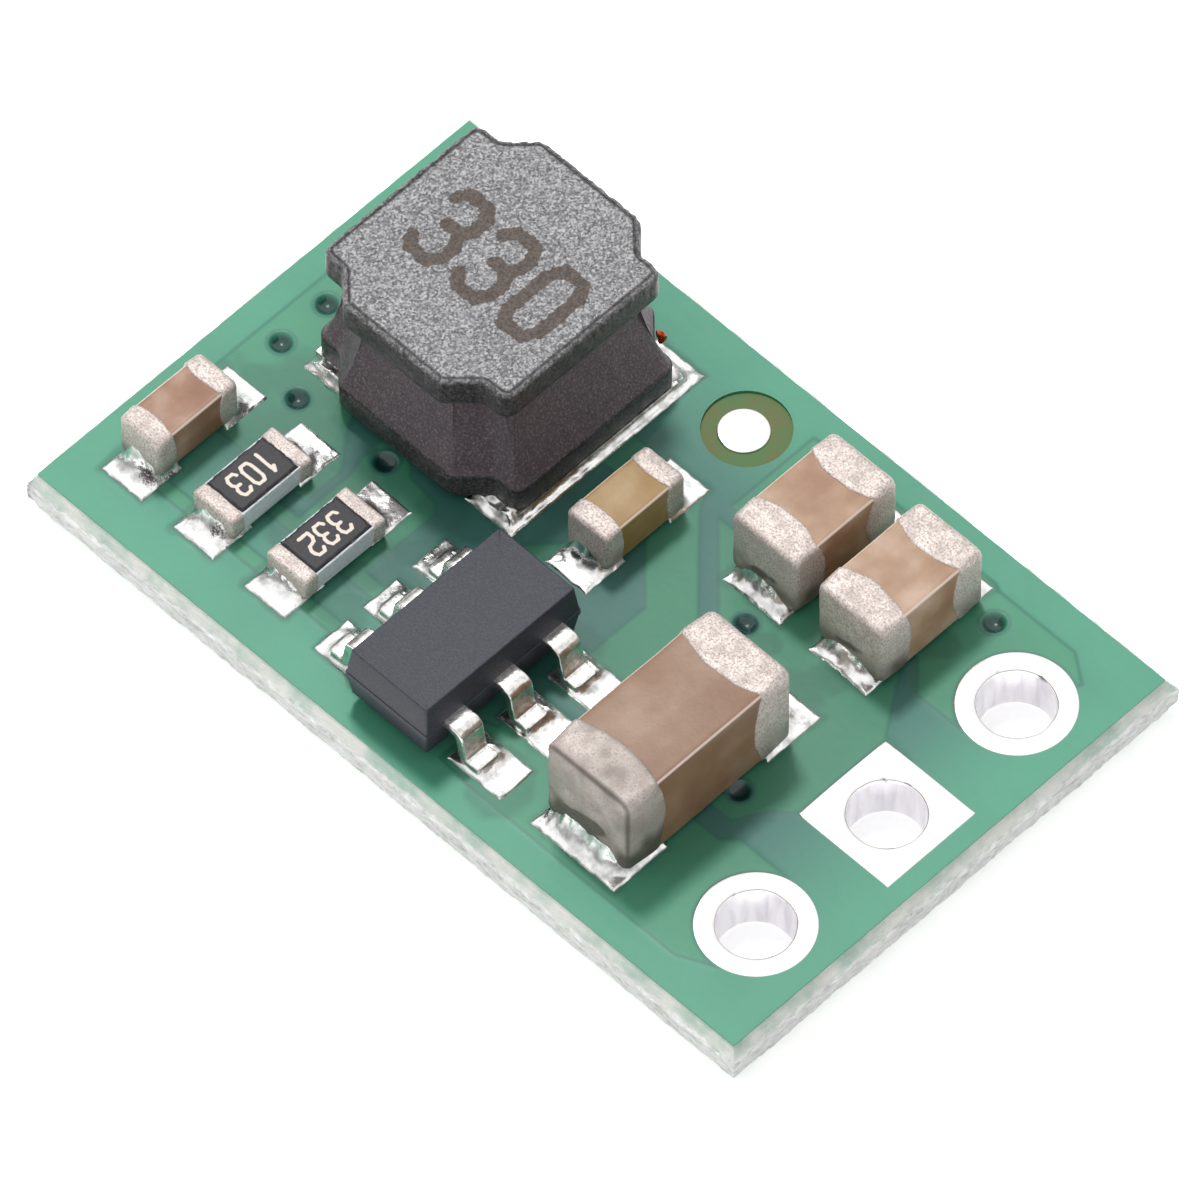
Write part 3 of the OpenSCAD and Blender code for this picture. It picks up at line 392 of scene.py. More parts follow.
def overcoat_glass():
    """Black glass printed over the resistor film, with its value in pale ink."""
    m, tree, sockets, place = material("black_glass_overcoat", "#2b292c", 0, 0.52)
    ink = add(tree, "Attribute", {}, "Fac", attribute_name="ink")
    grain = add(tree, "TexNoise", {"Vector": place, "Scale": per_mm(0.05), "Detail": 3.0})
    black = add(tree, "Mix", {0: grain, 6: "#1c1a1d", 7: "#37353a"}, **COLOURS)
    shift = add(tree, "Math", (grain, 0.02, -0.01), operation="MULTIPLY_ADD")
    edge = add(tree, "Math", (ink, shift), operation="ADD")
    inked = add(tree, "MapRange", (edge, -0.006, 0.006), **EASED)
    tree.links.new(add(tree, "Mix", {0: inked, 6: black, 7: "#e9ddd0"}, **COLOURS), sockets["Base Color"])
    relief = add(tree, "Bump", {"Height": grain, "Distance": 0.006 * MM, "Strength": 0.6})
    tree.links.new(relief, sockets["Normal"])
    return m


def hot_tin():
    """Hot-air-levelled tin on copper: nearly white and bright on the rings, duller and drawn in faint
    bands down the bores, with dark marks at the rim of a bore: nicks, and painted shade on the
    inner wall just below the rim on the side that faces away from the lamps."""
    m, tree, sockets, place = material("hot_levelled_tin", "#f8f7f5", 1, 0.22)
    nick_and_shade = add(tree, "Attribute", {}, "Fac", attribute_name="nick_and_shade")
    bore = add(tree, "Attribute", {}, "Fac", attribute_name="bore")
    tall = add(tree, "Mapping", {"Vector": place, "Scale": (1.0, 1.0, 0.12)})
    band = add(tree, "TexNoise", {"Vector": tall, "Scale": per_mm(0.14), "Detail": 3.0})
    drawn = add(tree, "ValToRGB", (band,), stops=((0.36, "#d6d3d9"), (0.62, "#efedf0")))
    wall = add(tree, "Mix", {0: bore, 6: "#f8f7f5", 7: drawn}, **COLOURS)
    tree.links.new(add(tree, "Mix", {0: nick_and_shade, 6: wall, 7: "#4f4642"}, **COLOURS), sockets["Base Color"])
    relief = add(tree, "Bump", {"Height": band, "Distance": 0.006 * MM, "Strength": 0.4})
    tree.links.new(relief, sockets["Normal"])
    return m


LOOK = {
    "laminate": glass_laminate(),
    # rolled copper under the lacquer: only a hair of it shows beside a ring, olive through the film
    "copper": speckled("lacquered_copper", "#7d7a3c", "#8f8a48", "#a29a58", 0.2, 0.6, 0.35, 0.002),
    "solder_mask": lacquer(),
    # electroplated copper in the small vias, dull brown
    "via_copper": speckled("plated_via_copper", "#8a5530", "#a66a42", "#c08458", 0.08, 1, 0.38, 0.004),
    "tin": hot_tin(),
    "solder": reflowed_solder(),
    "ferrite": drum_ferrite(),
    # enamelled copper wire: clear amber varnish over copper, bright where it bends
    "wire": speckled("enamelled_wire", "#8a3216", "#b04a22", "#d07040", 0.06, 0.9, 0.2, 0.002),
    # magnetic resin: epoxy filled with ferrite powder, dark purplish brown, half glossy
    "resin": speckled("ferrite_filled_resin", "#4c4349", "#5e5359", "#857b82", 0.036, 0, 0.42, 0.008,
                      (0.36, 0.54, 0.76), 3.0),
    # tinned terminal plate, dull silver
    "terminal": speckled("tinned_terminal", "#a8a6a0", "#cfcdc8", "#e6e4df", 0.07, 1, 0.3, 0.008),
    # moulding compound: dark epoxy with silica, fine matt grain from the mould
    "epoxy": speckled("moulding_compound", "#282833", "#2f2f3a", "#3a3a45", 0.03, 0, 0.5, 0.004),
    # tin-plated copper alloy leads, stamped and bent, soft bright
    "lead_metal": speckled("tin_plated_lead", "#dad6d0", "#f2f0ec", "#fcfbf9", 0.09, 1, 0.24, 0.006),
    "ceramic_brown": fired_ceramic("brown_capacitor_ceramic", "#8a6147", "#977056", "#b1927f"),
    "ceramic_pale": fired_ceramic("pale_brown_capacitor_ceramic", "#9c765b", "#ac8a6f", "#c2a590"),
    "ceramic_tan": fired_ceramic("tan_capacitor_ceramic", "#937338", "#a07f50", "#b0946a"),
    "ceramic_rose": fired_ceramic("rose_capacitor_ceramic", "#825e46", "#8c694f", "#9a7b64"),
    "end_metal": chip_end_metal(),
    # white alumina tile, snapped from a sheet: grey-white with a fine grain
    "alumina": speckled("alumina_tile", "#ccd4d9", "#d7dde1", "#e2e7ea", 0.05, 0, 0.4, 0.006),
    "overcoat": overcoat_glass(),
}
for entry in frame["record"]["subparts"]:
    body = NODES[entry["node"]].data
    body.materials.clear()
    body.materials.append(LOOK[entry["material_slot"]])


# Board ----------------------------------------------------------------------------------

SMALL, MEDIUM, LARGE = 0.79, 0.86, 1.05  # depth of a chip's lands along Y
DEPTH = {"feed_cap": SMALL, "boot_cap": SMALL, "resistor_a": SMALL, "resistor_b": SMALL,
         "output_cap_a": MEDIUM, "output_cap_b": MEDIUM, "input_cap": LARGE}


def chip_lands(name):
    """The near and far land of a chip, as x0, x1, y0, y1."""
    lo, hi = box_mm(name + "_solder")
    d = DEPTH[name]
    return [(lo[0], hi[0], lo[1], lo[1] + d), (lo[0], hi[0], hi[1] - d, hi[1])]


def regulator_lands():
    """The six lands of the regulator, three a side."""
    lo, hi = box_mm("regulator_solder")
    deep, wide = 1.013, 0.68
    pitch = (hi[1] - lo[1] - wide) / 2
    return [(x, x + deep, lo[1] + i * pitch, lo[1] + i * pitch + wide)
            for x in (lo[0], hi[0] - deep) for i in range(3)]


def inductor_lands():
    """The two long lands of the inductor."""
    lo, hi = box_mm("inductor_solder")
    deep = 0.93
    return [(lo[0], lo[0] + deep, lo[1], hi[1]), (hi[0] - deep, hi[0], lo[1], hi[1])]


LANDS = [land for name in DEPTH for land in chip_lands(name)] + regulator_lands() + inductor_lands()


def outline_of(node, top):
    """Sides of a flat copper layer's outline: of the triangles in its top or bottom face, the sides
    that belong to one triangle only."""
    mesh = NODES[node].data
    mesh.calc_loop_triangles()
    tri = np.empty(len(mesh.loop_triangles) * 3, np.int32)
    mesh.loop_triangles.foreach_get("vertices", tri)
    co = np.empty(len(mesh.vertices) * 3, np.float32)
    mesh.vertices.foreach_get("co", co)
    corners = (co.reshape(-1, 3).astype(float) / MM)[tri.reshape(-1, 3)]
    level = corners[..., 2].max() if top else corners[..., 2].min()
    flat = corners[np.abs(corners[..., 2] - level).max(1) < 1e-3][..., :2]
    sides = np.concatenate([flat[:, [0, 1]], flat[:, [1, 2]], flat[:, [2, 0]]])
    code = np.round(sides * 2000).astype(np.int64) @ np.array([1, 1000003])
    code.sort(axis=1)
    _, first, count = np.unique(code, axis=0, return_index=True, return_counts=True)
    return sides[first[count == 1]]


def depth_inside(x, y, sides):
    """Distance in mm to the nearest side of an outline, positive inside it, which is where a line
    towards +X crosses the outline an odd number of times."""
    near = np.full(x.shape, 1.0)
    inside = np.zeros(x.shape, bool)
    for (x0, y0), (x1, y1) in sides:
        near = np.minimum(near, square_of_gap(x, y, (x0, y0), (x1, y1)))
        if y0 != y1:
            inside ^= ((y0 > y) != (y1 > y)) & (x < x0 + (y - y0) * (x1 - x0) / (y1 - y0))
    return np.where(inside, 1, -1) * np.sqrt(near)


def rim_of(x, y, circles):
    """Which points lie inside any of the circles of centre and radius."""
    return np.any([np.hypot(x - cx, y - cy) < r for cx, cy, r in circles], axis=0)


VIAS = [(-5.875, 0.6), (-5.87, -0.3), (-5.035, -0.81), (-3.43, -0.71), (1.98, 0.84), (3.84, -1.19),
        (4.38, 3.24)]
VIA_R, VIA_DEEP = 0.172, 0.085
TOP, FLOOR = 0.75, 0.05  # the laminate's two faces
PINS = ("pin_hole_output", "pin_hole_ground", "pin_hole_input")
# Films of flux, some laid where parts shade the board, so their darkening is partly painted shade: centre
# and radius; every outline wavers by the same noise
FLUX_AND_SHADE = [(-4.7, -1.45, 0.75), (-5.1, -0.5, 0.6), (-3.5, -1.45, 0.5), (-2.35, -0.75, 0.4),
        (1.55, -3.5, 0.42), (3.4, 1.02, 0.34), (-4.35, -0.98, 0.42), (-5.72, -0.98, 0.36),
        (-2.0, -1.75, 0.5), (-2.1, -2.85, 0.42), (0.62, -1.0, 0.36), (2.3, 0.62, 0.3),
        (3.3, 0.55, 0.36), (-0.3, -0.45, 0.34), (4.1, 2.5, 0.3), (-3.62, -2.4, 0.3), (-2.26, -2.3, 0.32)]


def lacquer_level(x, y, sides, top, floor):
    """Height of the lacquer, floor over bare laminate and top over copper, and what its colour
    follows: pour (depth inside the copper), rim (distance from the board's edge), flux (films of
    flux, partly painted shade near parts) and pit."""
    pour = depth_inside(x, y, sides)
    z = floor + (top - floor) * step(pour, -0.08, 0.05)
    half = box_mm("top_solder_mask")[1]
    rim = np.minimum(half[0] - np.abs(x), half[1] - np.abs(y))
    flat = np.stack([x, y, 0 * x], -1)
    waver = 0.14 * rough(flat, 0.4, 3) + 0.05 * noise(flat, 0.12, 8)
    flux = np.zeros(x.shape)
    # films from the table: flux, and in part painted shade beside parts
    for cx, cy, r in FLUX_AND_SHADE:
        flux = np.maximum(flux, 1 - 0.5 * (np.hypot(x - cx, y - cy) + waver) / r)
    for x0, x1, y0, y1 in LANDS:
        flux = np.maximum(flux, 0.62 - 2.6 * (away_from(x, y, x0, x1, y0, y1) + 0.5 * waver))
    return z, {"pour": np.clip(pour, -0.5, 0.5), "rim": rim, "flux": flux, "pit": 0 * x}


def lacquer_skin(name, node, copper, top):
    """The lacquer as one height field in a fine square grid, whose points are drawn onto the
    rims of its openings, and a small round patch in each via, which dips like a bowl."""
    lo, hi = box_mm(node)
    sides = outline_of(copper, top)
    face, side = (0.7965, 0.7915) if top else (0.0035, 0.0085)  # its levels on copper and on laminate
    lap, pitch = 0.03, 0.045
    openings = []
    for pin in PINS:
        plo, phi = box_mm(pin)
        openings.append((*((plo + phi) / 2)[:2], (phi[0] - plo[0]) / 2 - lap))
    dlo, dhi = box_mm("fiducial_dot")
    window = ((dlo[0] + dhi[0]) / 2 + 0.02, (dlo[1] + dhi[1]) / 2 + 0.04, 0.643)
    bowls = [(*v, VIA_R + 0.05) for v in VIAS] if top else []
    rims = openings + bowls + ([window] if top else [])
    xs, ys = (np.linspace(a, b, round((b - a) / pitch)) for a, b in zip(lo[:2], hi[:2]))
    xs, ys = (np.concatenate([v[:1], v, v[-1:]]) for v in (xs, ys))
    x, y = np.meshgrid(xs, ys)
    for cx, cy, r in rims:
        away = np.hypot(x - cx, y - cy)
        pull = np.where(np.abs(away - r) < 0.024, r / np.maximum(away, 1e-9), 1)
        x, y = cx + (x - cx) * pull, cy + (y - cy) * pull
    z, values = lacquer_level(x, y, sides, face, side)
    # the outermost points drop straight down as the lacquer's cut edge
    for edge in (np.s_[0, :], np.s_[-1, :], np.s_[:, 0], np.s_[:, -1]):
        z[edge] = TOP - 0.005 if top else FLOOR + 0.005
    faces = weave(*x.shape)
    mid_x, mid_y = (v.ravel()[faces].mean(1) for v in (x, y))
    cut = openings + bowls + ([(*window[:2], window[2] + 0.02)] if top else [])
    surfaces, sets = [(np.stack([x, y, z], -1), faces[~rim_of(mid_x, mid_y, cut)])], [values]
    turn = np.radians(np.arange(0, 360, 7.5))
    for cx, cy, r in bowls:
        k = np.concatenate([[r + lap], np.linspace(r, 0, 13)])[:, None]
        px, py = cx + k * np.cos(turn), cy + k * np.sin(turn)
        pz, values = lacquer_level(px, py, sides, face, side)
        pz = pz - VIA_DEEP * np.clip(1 - (k / VIA_R) ** 2, 0, 1) ** 0.7 - 0.001 * (k > r)
        values["pit"] = np.broadcast_to(0.9 * (1 - step(k, VIA_R - 0.06, VIA_R + 0.02)), px.shape)
        surfaces.append(sheet(px, py, pz, loop=True))
        sets.append(values)
    if top:
        cx, cy, r = window
        k = np.array([r + 2 * lap, r + lap, r, r])[:, None]
        px, py = cx + k * np.cos(turn), cy + k * np.sin(turn)
        pz, values = lacquer_level(px, py, sides, face, side)
        pz += np.array([-0.0006, 0.0006, 0.0002, 0])[:, None]
        pz[-1] = TOP - 0.005
        surfaces.append(sheet(px, py, pz, loop=True))
        sets.append(values)
    if not top:
        surfaces = [(p, f[:, ::-1]) for p, f in surfaces]
    joined = {key: np.concatenate([v[key].ravel() for v in sets]) for key in sets[0]}
    piece(name, surfaces, LOOK["solder_mask"], (node,), joined, sharp=50, merge=False)


lacquer_skin("top_lacquer", "top_solder_mask", "top_copper", True)
lacquer_skin("underside_lacquer", "bottom_solder_mask", "bottom_copper", False)


def snapped_board():
    """The laminate: two flat faces with square gaps at the pin holes and vias, and round them a band
    whose section slopes out to the web and back. The band is worn inward by noise drawn out along
    the board, as torn glass fibres are."""
    lo, hi = box_mm("scored_laminate")
    half = box_mm("top_solder_mask")[1][:2]
    out = (hi[:2] - half) * 0.985
    slope = [0.0, 0.02, 0.2, 0.45, 0.7, 0.92]
    drop = np.array([0.0, 0.004, 0.045, 0.1, 0.155, 0.195])
    span = np.array(slope + [1.0] * 10 + slope[::-1])
    level = np.concatenate([TOP - drop, np.linspace(0.545, 0.265, 10), FLOOR + drop[::-1]])
    run = []
    for a, b, steps in (((1, -1), (1, 1), 300), ((1, 1), (-1, 1), 470), ((-1, 1), (-1, -1), 300),
                        ((-1, -1), (1, -1), 470)):
        t = np.linspace(0, 1, steps, endpoint=False)[:, None]
        run.append(np.array(a) * (1 - t) + np.array(b) * t)
    run = np.concatenate(run)
    spread = span[::-1, None, None] * out
    plan = run[None] * (half + spread)
    z = np.broadcast_to(level[::-1, None], plan.shape[:2])
    points = np.concatenate([plan, z[..., None]], -1)
    stretched = points * np.array([1, 1, 3.0])
    low = step(TOP - points[..., 2], 0.15, 0.6)
    corner = np.linalg.norm(points[..., :2] - np.array([-1, -1]) * (half + out), axis=-1)
    bite = step(spread.max(-1), 0.02, 0.15) * (0.035 * np.abs(rough(stretched, 0.55, 5, 4))
                                               + 0.02 * np.abs(noise(points * [1, 1, 6], 0.16, 9))
                                               + 0.03 * low * np.abs(noise(points * [1, 1, 3], 0.06, 15))
                                               + 0.05 * np.exp(-(corner / 0.2) ** 2))
    inward = np.where(np.abs(run) > 0.9999, run, 0)
    points[..., :2] -= inward[None] * bite[..., None]
    torn = np.broadcast_to(0.5 + 0.5 * step(spread.max(-1), 0.09, 0.16), plan.shape[:2]).copy()
    torn[[0, -1]] = 0.4
    surfaces, sets = [(points, weave(*plan.shape[:2], loop=True))], [torn]
    rings = [box_mm(pin) for pin in PINS]
    gaps = [(*(a + b)[:2] / 2, 0.6) for a, b in rings] + [(*v, 0.19) for v in VIAS]
    x, y = np.meshgrid(*(sorted({s * half[k] for s in (-1, 1)}
                                | {g[k] + s * g[2] for g in gaps for s in (-1, 1)}) for k in (0, 1)))
    faces = weave(*x.shape)
    mid_x, mid_y = (v.ravel()[faces].mean(1) for v in (x, y))
    cut = [np.maximum(np.abs(mid_x - gx), np.abs(mid_y - gy)) < g for gx, gy, g in gaps]
    faces = faces[~np.any(cut, axis=0)]
    for z0, way in ((TOP, 1), (FLOOR, -1)):
        surfaces.append((np.stack([x, y, z0 + 0 * x], -1), faces[:, ::way]))
        sets.append(0 * x)
    piece("snapped_laminate", surfaces, LOOK["laminate"], ("scored_laminate",),
          {"torn": np.concatenate([v.ravel() for v in sets])}, sharp=35, merge=False)


snapped_board()


def pin_ring(node, square, seed):
    """A plated hole: the section of a ring, from its top rim in over a rounded lip and down the
    bore, carried round the axis. The outline is a circle, or a square whose reach at each angle is
    the half side over the larger of sine and cosine."""
    lo, hi = box_mm(node)
    centre, top, half, bore = (lo + hi) / 2, hi[2], (hi[0] - lo[0]) / 2, 0.56
    turn = np.radians(np.arange(0, 360, 3.0))
    reach = 1 / np.maximum(np.abs(np.cos(turn)), np.abs(np.sin(turn))) if square else np.ones(len(turn))
    # share of the way from the bore to the outline, and drop from the face
    lip = [(1, 0.05), (1, 0.012), (0.97, 0.002), (0.93, 0), (0.6, 0), (0.22, 0), (0.06, 0.002),
           (0.024, 0.008), (0.005, 0.02), (0, 0.036)]
    rows = lip + [(0, d) for d in np.linspace(0.1, 0.7, 9)] + [(k, top - d) for k, d in lip[::-1]]
    share, drop = np.array(rows).T[:, :, None]
    r = bore * (1 - share) + half * reach * share
    flow = sheet(np.cos(turn) * bore, np.sin(turn) * bore, drop * 0.15)[0]
    r = r + (1 - np.clip(4 * share, 0, 1)) * 0.008 * (noise(flow, 0.16, seed) - 0.3)
    x, y, z = centre[0] + r * np.cos(turn), centre[1] + r * np.sin(turn), top - drop + 0 * r
    chips = noise(np.stack([x, y, z * 2], -1), 0.07, seed + 3)
    # painted shade: dark marks broken up like nicks, only at the top of the bore wall on the side that
    # faces away from the lamps
    side = np.cos(turn - np.radians(125)) + 0 * r
    nick_and_shade = step(side, 0.6, 0.95) * step(chips, 0.25, 0.5)
    nick_and_shade = nick_and_shade * np.exp(-((drop - 0.03) / 0.035) ** 2) * (share < 0.1)
    inner = step(drop, 0.02, 0.09) * (share < 0.02) + 0 * x
    piece(node + "_tinned", [sheet(x, y, z, loop=True)], LOOK["tin"], (node,),
          {"nick_and_shade": nick_and_shade, "bore": inner})


for i, pin in enumerate(PINS):
    pin_ring(pin, pin == "pin_hole_ground", 11 * i)


def fiducial():
    """The round tinned dot: a disc with a domed face and a rounded foot."""
    lo, hi = box_mm("fiducial_dot")
    r, centre = (hi[0] - lo[0]) / 2, (lo + hi) / 2
    k = np.array([1, 1, 0.985, 0.95, 0.85, 0.65, 0.4, 0.2, 0])[:, None]
    z = hi[2] - np.array([0.04, 0.018, 0.008, 0.004, 0.002, 0.001, 0, 0, 0])[:, None]
    turn = np.radians(np.arange(0, 360, 6.0))
    dot = sheet(centre[0] + r * k * np.cos(turn), centre[1] + r * k * np.sin(turn), z, loop=True)
    plain = np.zeros(dot[0].shape[:2])
    piece("fiducial_tinned", [dot], LOOK["tin"], ("fiducial_dot",), {"nick_and_shade": plain, "bore": plain})


fiducial()


# Solder ---------------------------------------------------------------------------------

SEAT = 0.778  # level of the solder's edge, a hair inside the copper's face


def pool(land, foot, skin, climb, run, seed, soil=0.0, corner=0.0):
    """Solder over a land: its height is a thin skin plus a climb, highest at the land's middle,
    that dies off over run mm with the distance from the part's foot, a rectangle with rounded
    corners. It ends in a quarter-round shoulder at the land's edge, and slow noise makes it
    uneven."""
    x0, x1, y0, y1 = land
    u, v = (np.sin(np.linspace(-np.pi / 2, np.pi / 2, n)) * 0.25 + np.linspace(-1, 1, n) * 0.25 + 0.5
            for n in (round((x1 - x0) / 0.02), round((y1 - y0) / 0.02)))
    x, y = np.meshgrid(x0 + (x1 - x0) * u, y0 + (y1 - y0) * v)
    flat = np.stack([x, y, 0 * x], -1)
    inset = np.minimum(np.minimum(x - x0, x1 - x), np.minimum(y - y0, y1 - y))
    inset = inset + 0.012 * noise(flat, 0.1, seed)
    shoulder = np.sqrt(1 - (1 - np.clip(inset / 0.05, 0, 1)) ** 2)
    middle = np.array(foot) + np.array([1, -1, 1, -1]) * corner
    gap = np.maximum(away_from(x, y, *middle) - corner, 0)
    lumps = 1 + 0.35 * rough(flat, 0.22, seed + 1)
    brow = step(np.minimum(x - x0, x1 - x) / (x1 - x0), 0.0, 0.3)
    rise = climb * np.exp(-gap / run) * np.clip(1 - 0.25 * gap / run, 0, 1) * lumps * brow
    z = SEAT + (0.022 + skin * lumps + rise) * shoulder
    side = step(x - (x0 + x1) / 2, -0.12, 0.16)
    dirt = soil * side * np.exp(-((gap - 0.1) / 0.13) ** 2) * (1 + 0.6 * noise(flat, 0.16, seed + 4))
    return sheet(x, y, z), dirt


def solder(name, pools):
    """The frozen solder under one part, a pool on each of its lands."""
    piece(name + "_reflowed", [s for s, _ in pools], LOOK["solder"], (name,),
          {"flux": np.concatenate([d.ravel() for _, d in pools])})


# Chip capacitors and resistors ----------------------------------------------------------

def end_cap(box, sign, band, swell, lip, corner, edge, seed, soil=0.0, arc=7, side=14):
    """A dipped metal end: closed rows round the chip's section, from the lip where the coat starts,
    along the band, over a rounded edge and in to the middle of the end face. The section's corners
    are tight at the lip and grow to the full corner at the tip. The band reaches further at the
    middle of each side than at its corners, by swell, and its lip wavers. Its values hold a painted
    reflection of the board, darker towards the bottom of the end, and soil adds a dull smudge low
    on the end face."""
    lo, hi = box
    cx, cz = (lo[0] + hi[0]) / 2, (lo[2] + hi[2]) / 2
    a, b = (hi[2] - lo[2]) / 2, (hi[0] - lo[0]) / 2
    tip = hi[1] if sign > 0 else lo[1]
    bend = np.radians(np.linspace(0, 90, 10))
    # rows: inset of the section, share of the band, depth at the rounded edge
    inset = np.concatenate([[lip, 0.45 * lip, 0.12 * lip, 0, 0, 0, 0, 0], edge * (1 - np.cos(bend))])
    share = np.concatenate([[1, 1, 0.97, 0.92, 0.75, 0.5, 0.3, 0.12], 0 * bend])
    deep = np.concatenate([np.full(8, edge), edge * (1 - np.sin(bend))])
    full = 0.075 + (corner - 0.075) * step(1 - share, 0.1, 0.85)
    p, q = rounded(a - inset, b - inset, np.maximum(full - 0.7 * inset, 0.05), arc, side)
    flat = np.clip(np.minimum(np.abs(p) / a, np.abs(q) / b), 0, 1)
    reach = band + swell * (1 - flat ** 2)
    reach = reach + 0.05 * band * rough(np.stack([p, q, 0 * p], -1), 0.35, seed, 3)
    y = np.where(share[:, None] > 0, np.maximum(share[:, None] * reach, edge), deep[:, None])
    y[0], y[1], y[2] = reach[0], reach[1] - 0.002, reach[2] - 0.012
    k = np.linspace(0.95, 0, 16)[:, None]
    p = np.concatenate([p, p[-1:] * k])
    q = np.concatenate([q, q[-1:] * k])
    y = np.concatenate([y, -0.012 * (1 - k ** 2) + 0 * p[-16:]])
    points = np.stack([cx + q, tip - sign * y, cz + p], -1)
    middle = np.array([cx, tip - sign * band, cz])
    away = points - middle
    away /= np.linalg.norm(away, axis=-1, keepdims=True)
    points = points + away * (0.006 * rough(points, 0.16, seed + 5, 3) - 0.004)[..., None]
    slot = np.exp(-((q + 0.1 * b) / (0.5 * b)) ** 2 - ((p + 0.38 * a - 0.25 * q) / (0.17 * a)) ** 2)
    # painted reflection of the green board: the lower part of every end is darkened, more with soil
    foot = (0.35 + 0.2 * soil) * step(-p / a, -0.5, 0.95)
    soot_and_reflection = soil * slot * (1 - step(y, 0.3 * edge, 1.5 * edge)) * (1 + 0.4 * noise(points, 0.12, seed))
    soot_and_reflection = np.maximum(soot_and_reflection, foot * (1 + 0.5 * noise(points, 0.2, seed + 3)))
    # an end with soil over 1.2 is made grey all over and dark along the edge of its end face
    dirt = step(np.array(soil), 1.2, 2.0)
    ring = 0.3 * np.exp(-((y / edge - 0.3) / 0.22) ** 2)
    soot_and_reflection = np.maximum(soot_and_reflection, dirt * (0.36 + ring + 0.12 * noise(points, 0.25, seed)))
    faces = weave(*p.shape, loop=True)
    return (points, faces[:, ::-1] if sign < 0 else faces), soot_and_reflection


def ceramic_block(box, corner, seed, under):
    """The chip's body: rounded rows along Y, ending under the metal ends, its sides bowed by slow
    noise. Edge is 1 along its four long corners and dies off 0.03 mm from them."""
    lo, hi = box
    centre = (lo + hi) / 2
    a, b, l = (hi[2] - lo[2]) / 2, (hi[0] - lo[0]) / 2, (hi[1] - lo[1]) / 2 - under
    levels = np.linspace(-l, l, 22)
    rows = [(0, 0, 0, -l)] + [(a, b, corner, y) for y in levels] + [(0, 0, 0, l)]
    points, faces = stack(centre, rows, upright=False, arc=5, side=16)
    away = (points - centre) / np.array([b, l, a])
    away[..., 1] = 0
    near = np.abs(points - centre)
    # edge marks the long corners, where the capacitors' ceramic gets a painted highlight
    edge = 1 - step(np.maximum(b - near[..., 0], a - near[..., 2]), 0.3 * corner, corner + 0.01)
    return (points + away * (0.006 * noise(points, 0.7, seed) - 0.003)[..., None], faces), edge


def metal_ends(name, caps, part):
    """The two dipped or wrapped ends of a chip as one piece."""
    piece(name + part, [cap for cap, _ in caps], LOOK["end_metal"], (name + "_ends",),
          {"soot_and_reflection": np.concatenate([soot_and_reflection.ravel() for _, soot_and_reflection in caps])})


def chip_solder(name, ends, climbs, run, seed, soil, corner=0.0):
    """Solder at a chip's near and far land, soiled at the near one."""
    foot = (ends[0][0] + 0.02, ends[1][0] - 0.02, ends[0][1] + 0.02, ends[1][1] - 0.02)
    solder(name + "_solder", [pool(land, foot, 0.02, climb, run, seed + 20 + i, soil * (i == 0), corner)
                              for i, (land, climb) in enumerate(zip(chip_lands(name), climbs))])


def capacitor(name, ceramic, band, swell, corner, edge, climb, seed, soil, soot_and_reflection):
    """A chip capacitor: a ceramic block, two metal ends that reach band mm over it, and solder that
    climbs them. Soil stains its near solder; the last value smudges its near end and deepens the
    painted reflection of the board on it."""
    ends, body = box_mm(name + "_ends"), box_mm(name + "_body")
    body[0][2] = ends[0][2] + 0.02
    # the edge values carry a painted highlight along the ceramic's long edges
    block, pale = ceramic_block(body, 0.05, seed, 0.72 * band)
    piece(name + "_ceramic", [block], LOOK[ceramic], (name + "_body",),
          {"edge": pale})
    caps = [end_cap(ends, s, band, swell, 0.03, corner, edge, seed + 2 + s, soot_and_reflection * (s < 0))
            for s in (-1, 1)]
    metal_ends(name, caps, "_dipped_ends")
    chip_solder(name, ends, (climb, climb * 0.7), 0.13, seed, soil, corner)


capacitor("feed_cap", "ceramic_brown", 0.29, 0.07, 0.11, 0.08, 0.40, 100, 1.1, 0.15)
capacitor("boot_cap", "ceramic_tan", 0.29, 0.07, 0.11, 0.08, 0.34, 140, 0.3, 0.15)
capacitor("output_cap_a", "ceramic_pale", 0.44, 0.15, 0.13, 0.09, 0.30, 180, 0.2, 1.1)
capacitor("output_cap_b", "ceramic_pale", 0.44, 0.15, 0.13, 0.09, 0.30, 220, 0.2, 0.9)
capacitor("input_cap", "ceramic_rose", 0.58, 0.16, 0.17, 0.12, 0.44, 260, 0.4, 2.0)

STROKES = {
    "0": [(0, .18), (0, .82), (.2, 1), (.8, 1), (1, .82), (1, .18), (.8, 0), (.2, 0), (0, .18)],
    "1": [(.25, .78), (.55, 1), (.55, 0)],
    "2": [(0, .84), (.2, 1), (.8, 1), (1, .84), (1, .66), (.8, .5), (.2, .42), (0, .26), (0, 0), (1, 0)],
    "3": [(0, .86), (.2, 1), (.8, 1), (1, .84), (1, .66), (.8, .52), (.4, .52), (.8, .52), (1, .36),
          (1, .16), (.8, 0), (.2, 0), (0, .14)],
}


def ink_depth(u, v, digits, wide, tall, gap, pen):
    """How deep points u, v, in mm, lie inside pen strokes of half width pen that spell the digits
    along u, centred: the half width less the distance to the nearest stroke."""
    near = np.full(u.shape, 1.0)
    start = -(len(digits) * wide + (len(digits) - 1) * gap) / 2
    for i, digit in enumerate(digits):
        path = np.array(STROKES[digit]) * (wide, tall) + (start + i * (wide + gap), -tall / 2)
        for a, b in zip(path[:-1], path[1:]):
            near = np.minimum(near, square_of_gap(u, v, a, b))
    return np.clip(pen - np.sqrt(near), -0.2, 0.2)


